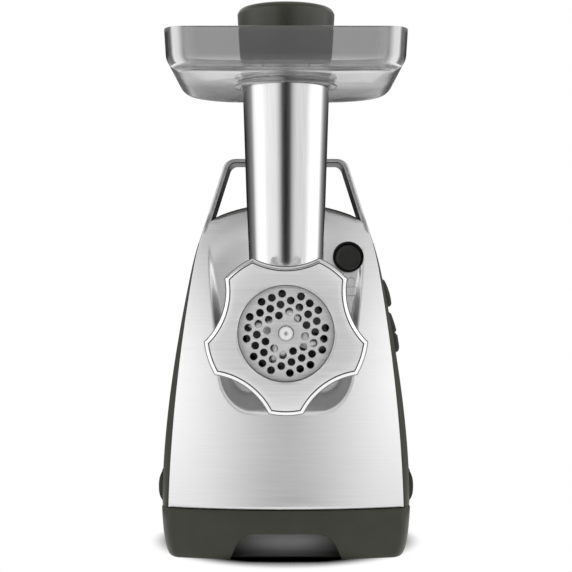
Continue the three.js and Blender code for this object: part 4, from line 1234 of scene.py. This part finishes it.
def stage():
    """A white floor that darkens only where the machine stands over it: a painted shadow, from ambient
    occlusion kept inside an oval under the machine.
    """
    material = bpy.data.materials.new("white_floor")
    material.use_nodes = True
    tree = material.node_tree
    tree.nodes.clear()
    near = tree.nodes.new("ShaderNodeAmbientOcclusion")
    near.inputs["Distance"].default_value = SHADOW.reach * MM
    near.samples = 24
    lit = smooth_step(tree, near.outputs["AO"], SHADOW.dark, SHADOW.light)
    coords = tree.nodes.new("ShaderNodeTexCoord")
    oval = tree.nodes.new("ShaderNodeMapping")
    oval.vector_type = "TEXTURE"
    oval.inputs["Location"].default_value = (0, SHADOW.middle * MM, 0)
    oval.inputs["Scale"].default_value = (SHADOW.half_width * MM, SHADOW.half_depth * MM, 1)
    tree.links.new(coords.outputs["Object"], oval.inputs["Vector"])
    away = tree.nodes.new("ShaderNodeVectorMath")
    away.operation = "LENGTH"
    tree.links.new(oval.outputs["Vector"], away.inputs[0])
    outside = smooth_step(tree, away.outputs["Value"], 1 - SHADOW.fade, 1.0)
    glow = tree.nodes.new("ShaderNodeEmission")
    tree.links.new(math_node(tree, "MAXIMUM", lit, outside), glow.inputs["Strength"])
    out = tree.nodes.new("ShaderNodeOutputMaterial")
    tree.links.new(glow.outputs[0], out.inputs["Surface"])
    rings = []
    for radius in (450, 300, 150, 0.001):
        rings.append([(x, y, -0.05) for x, y in arc(0, 0, radius, 0, 360, 64)[:-1]])
    floor = loft("floor", rings, caps=False)
    floor.data.materials.append(material)


# Each band of the room, from the lowest up, as azimuth (0 behind the camera, left negative) and brightness.
# Smooth steps join them, at the heights of a direction's unit vector that world_light gives.
LOW_BAND = [(-180, 1.0), (-40, 1.15), (-18, 0.62), (0, 0.25), (18, 0.62), (40, 1.15), (180, 1.0)]
LEVEL_BAND = [
    (-180, 0.012), (-148, 0.015), (-128, 0.10), (-108, 0.28), (-97, 1.0), (-80, 1.25), (-64, 1.15),
    (-54, 0.93), (-28, 0.88), (-18, 0.52), (-10, 0.07), (0, 0.0), (10, 0.07), (19, 0.52), (28, 0.75),
    (56, 0.76), (72, 1.2), (108, 1.25), (118, 0.5), (128, 0.20), (148, 0.03), (180, 0.012),
]
MIDDLE_BAND = [
    (-180, 0.75), (-100, 1.1), (-60, 1.9), (-40, 1.75), (-26, 1.25), (-14, 0.92), (0, 0.42),
    (14, 0.88), (26, 1.18), (40, 1.7), (60, 1.9), (100, 1.1), (180, 0.75),
]
HIGH_BAND = [
    (-180, 0.8), (-75, 0.4), (-36, 0.17), (-15, 0.06), (0, 0.1), (11, 0.3), (20, 0.62), (36, 0.42),
    (60, 0.42), (180, 0.8),
]
ZENITH = 0.65


def world_light():
    """A white studio: bright panels to the sides, dark behind the camera and behind the machine."""
    world = bpy.data.worlds.new("studio")
    bpy.context.scene.world = world
    world.use_nodes = True
    tree = world.node_tree
    tree.nodes.clear()
    x, y, z = place_in(tree, "Generated")
    azimuth = math_node(tree, "ARCTAN2", x, math_node(tree, "MULTIPLY", y, -1.0))
    turn = math_node(tree, "MULTIPLY_ADD", azimuth, 0.5 / math.pi, 0.5)
    bands = []
    for band in (LOW_BAND, LEVEL_BAND, MIDDLE_BAND, HIGH_BAND):
        bands.append(value_ramp(tree, turn, [(0.5 + degrees / 360, value) for degrees, value in band]))
    low, level, middle, high = bands
    room = mixed(tree, smooth_step(tree, z, 0.08, 0.26), level, middle)
    room = mixed(tree, smooth_step(tree, z, 0.45, 0.6), room, high)
    room = mixed(tree, smooth_step(tree, z, 0.75, 0.92), room, grey(ZENITH))
    room = mixed(tree, smooth_step(tree, z, -0.06, -0.2), room, low)
    reflected = tree.nodes.new("ShaderNodeBackground")
    tree.links.new(room, reflected.inputs["Color"])
    seen = tree.nodes.new("ShaderNodeBackground")
    seen.inputs["Color"].default_value = (1, 1, 1, 1)
    path = tree.nodes.new("ShaderNodeLightPath")
    ahead = math_node(tree, "GREATER_THAN", y, 0.9)
    through = math_node(tree, "MULTIPLY", path.outputs["Is Transmission Ray"], ahead)
    backdrop = math_node(tree, "MAXIMUM", path.outputs["Is Camera Ray"], through)
    out = tree.nodes.new("ShaderNodeOutputWorld")
    mixed_shaders(tree, backdrop, reflected.outputs[0], seen.outputs[0], out.inputs["Surface"])


KEY_LIGHT = Sizes(width=0.6, height=0.9, watts=0.3, aim=Vector((0, 0, 0.15)))


def key_light(name, place):
    """A soft panel of light at a place, in metres, that faces the machine."""
    light = bpy.data.lights.new(name, "AREA")
    light.shape = "RECTANGLE"
    light.size, light.size_y = KEY_LIGHT.width, KEY_LIGHT.height
    light.energy = KEY_LIGHT.watts
    obj = bpy.data.objects.new(name, light)
    obj.location = place
    obj.rotation_euler = (KEY_LIGHT.aim - Vector(place)).to_track_quat("-Z", "Y").to_euler()
    bpy.context.scene.collection.objects.link(obj)


CAMERA_DISTANCE = 1.05
EYE_HEIGHT = 0.1845
SENSOR = 36
FOCAL_WIDTHS = 1500 / 572


def camera():
    data = bpy.data.cameras.new("camera")
    data.sensor_width = SENSOR
    data.lens = SENSOR * FOCAL_WIDTHS
    data.clip_end = 20
    obj = bpy.data.objects.new("camera", data)
    obj.location = (0, -CAMERA_DISTANCE, EYE_HEIGHT)
    obj.rotation_euler = (math.pi / 2, 0, 0)
    bpy.context.scene.collection.objects.link(obj)
    bpy.context.scene.camera = obj


# ---- Everything ----
camera()
world_light()
key_light("key_left", (-0.9, -0.9, 1.0))
key_light("key_right", (0.95, -0.8, 0.9))
stage()
front_panel()
rear_shell()
base_skirt()
carry_handle()
feet()
side_grips()
rear_details()
head_body()
cutting_plate()
screw_ring()
auger()
cutting_knife()
hopper_tray()
food_pusher()
lock_button()
lock_icon()
side_control("reverse_button_cap", REVERSE_LOW, REVERSE_HIGH, "reverse", "reverse_button", split=False)
side_control("power_rocker_cap", ROCKER_LOW, ROCKER_HIGH, "rocker", "power_rocker", split=True)
inner_pieces()
bpy.context.scene.view_settings.view_transform = "Standard"
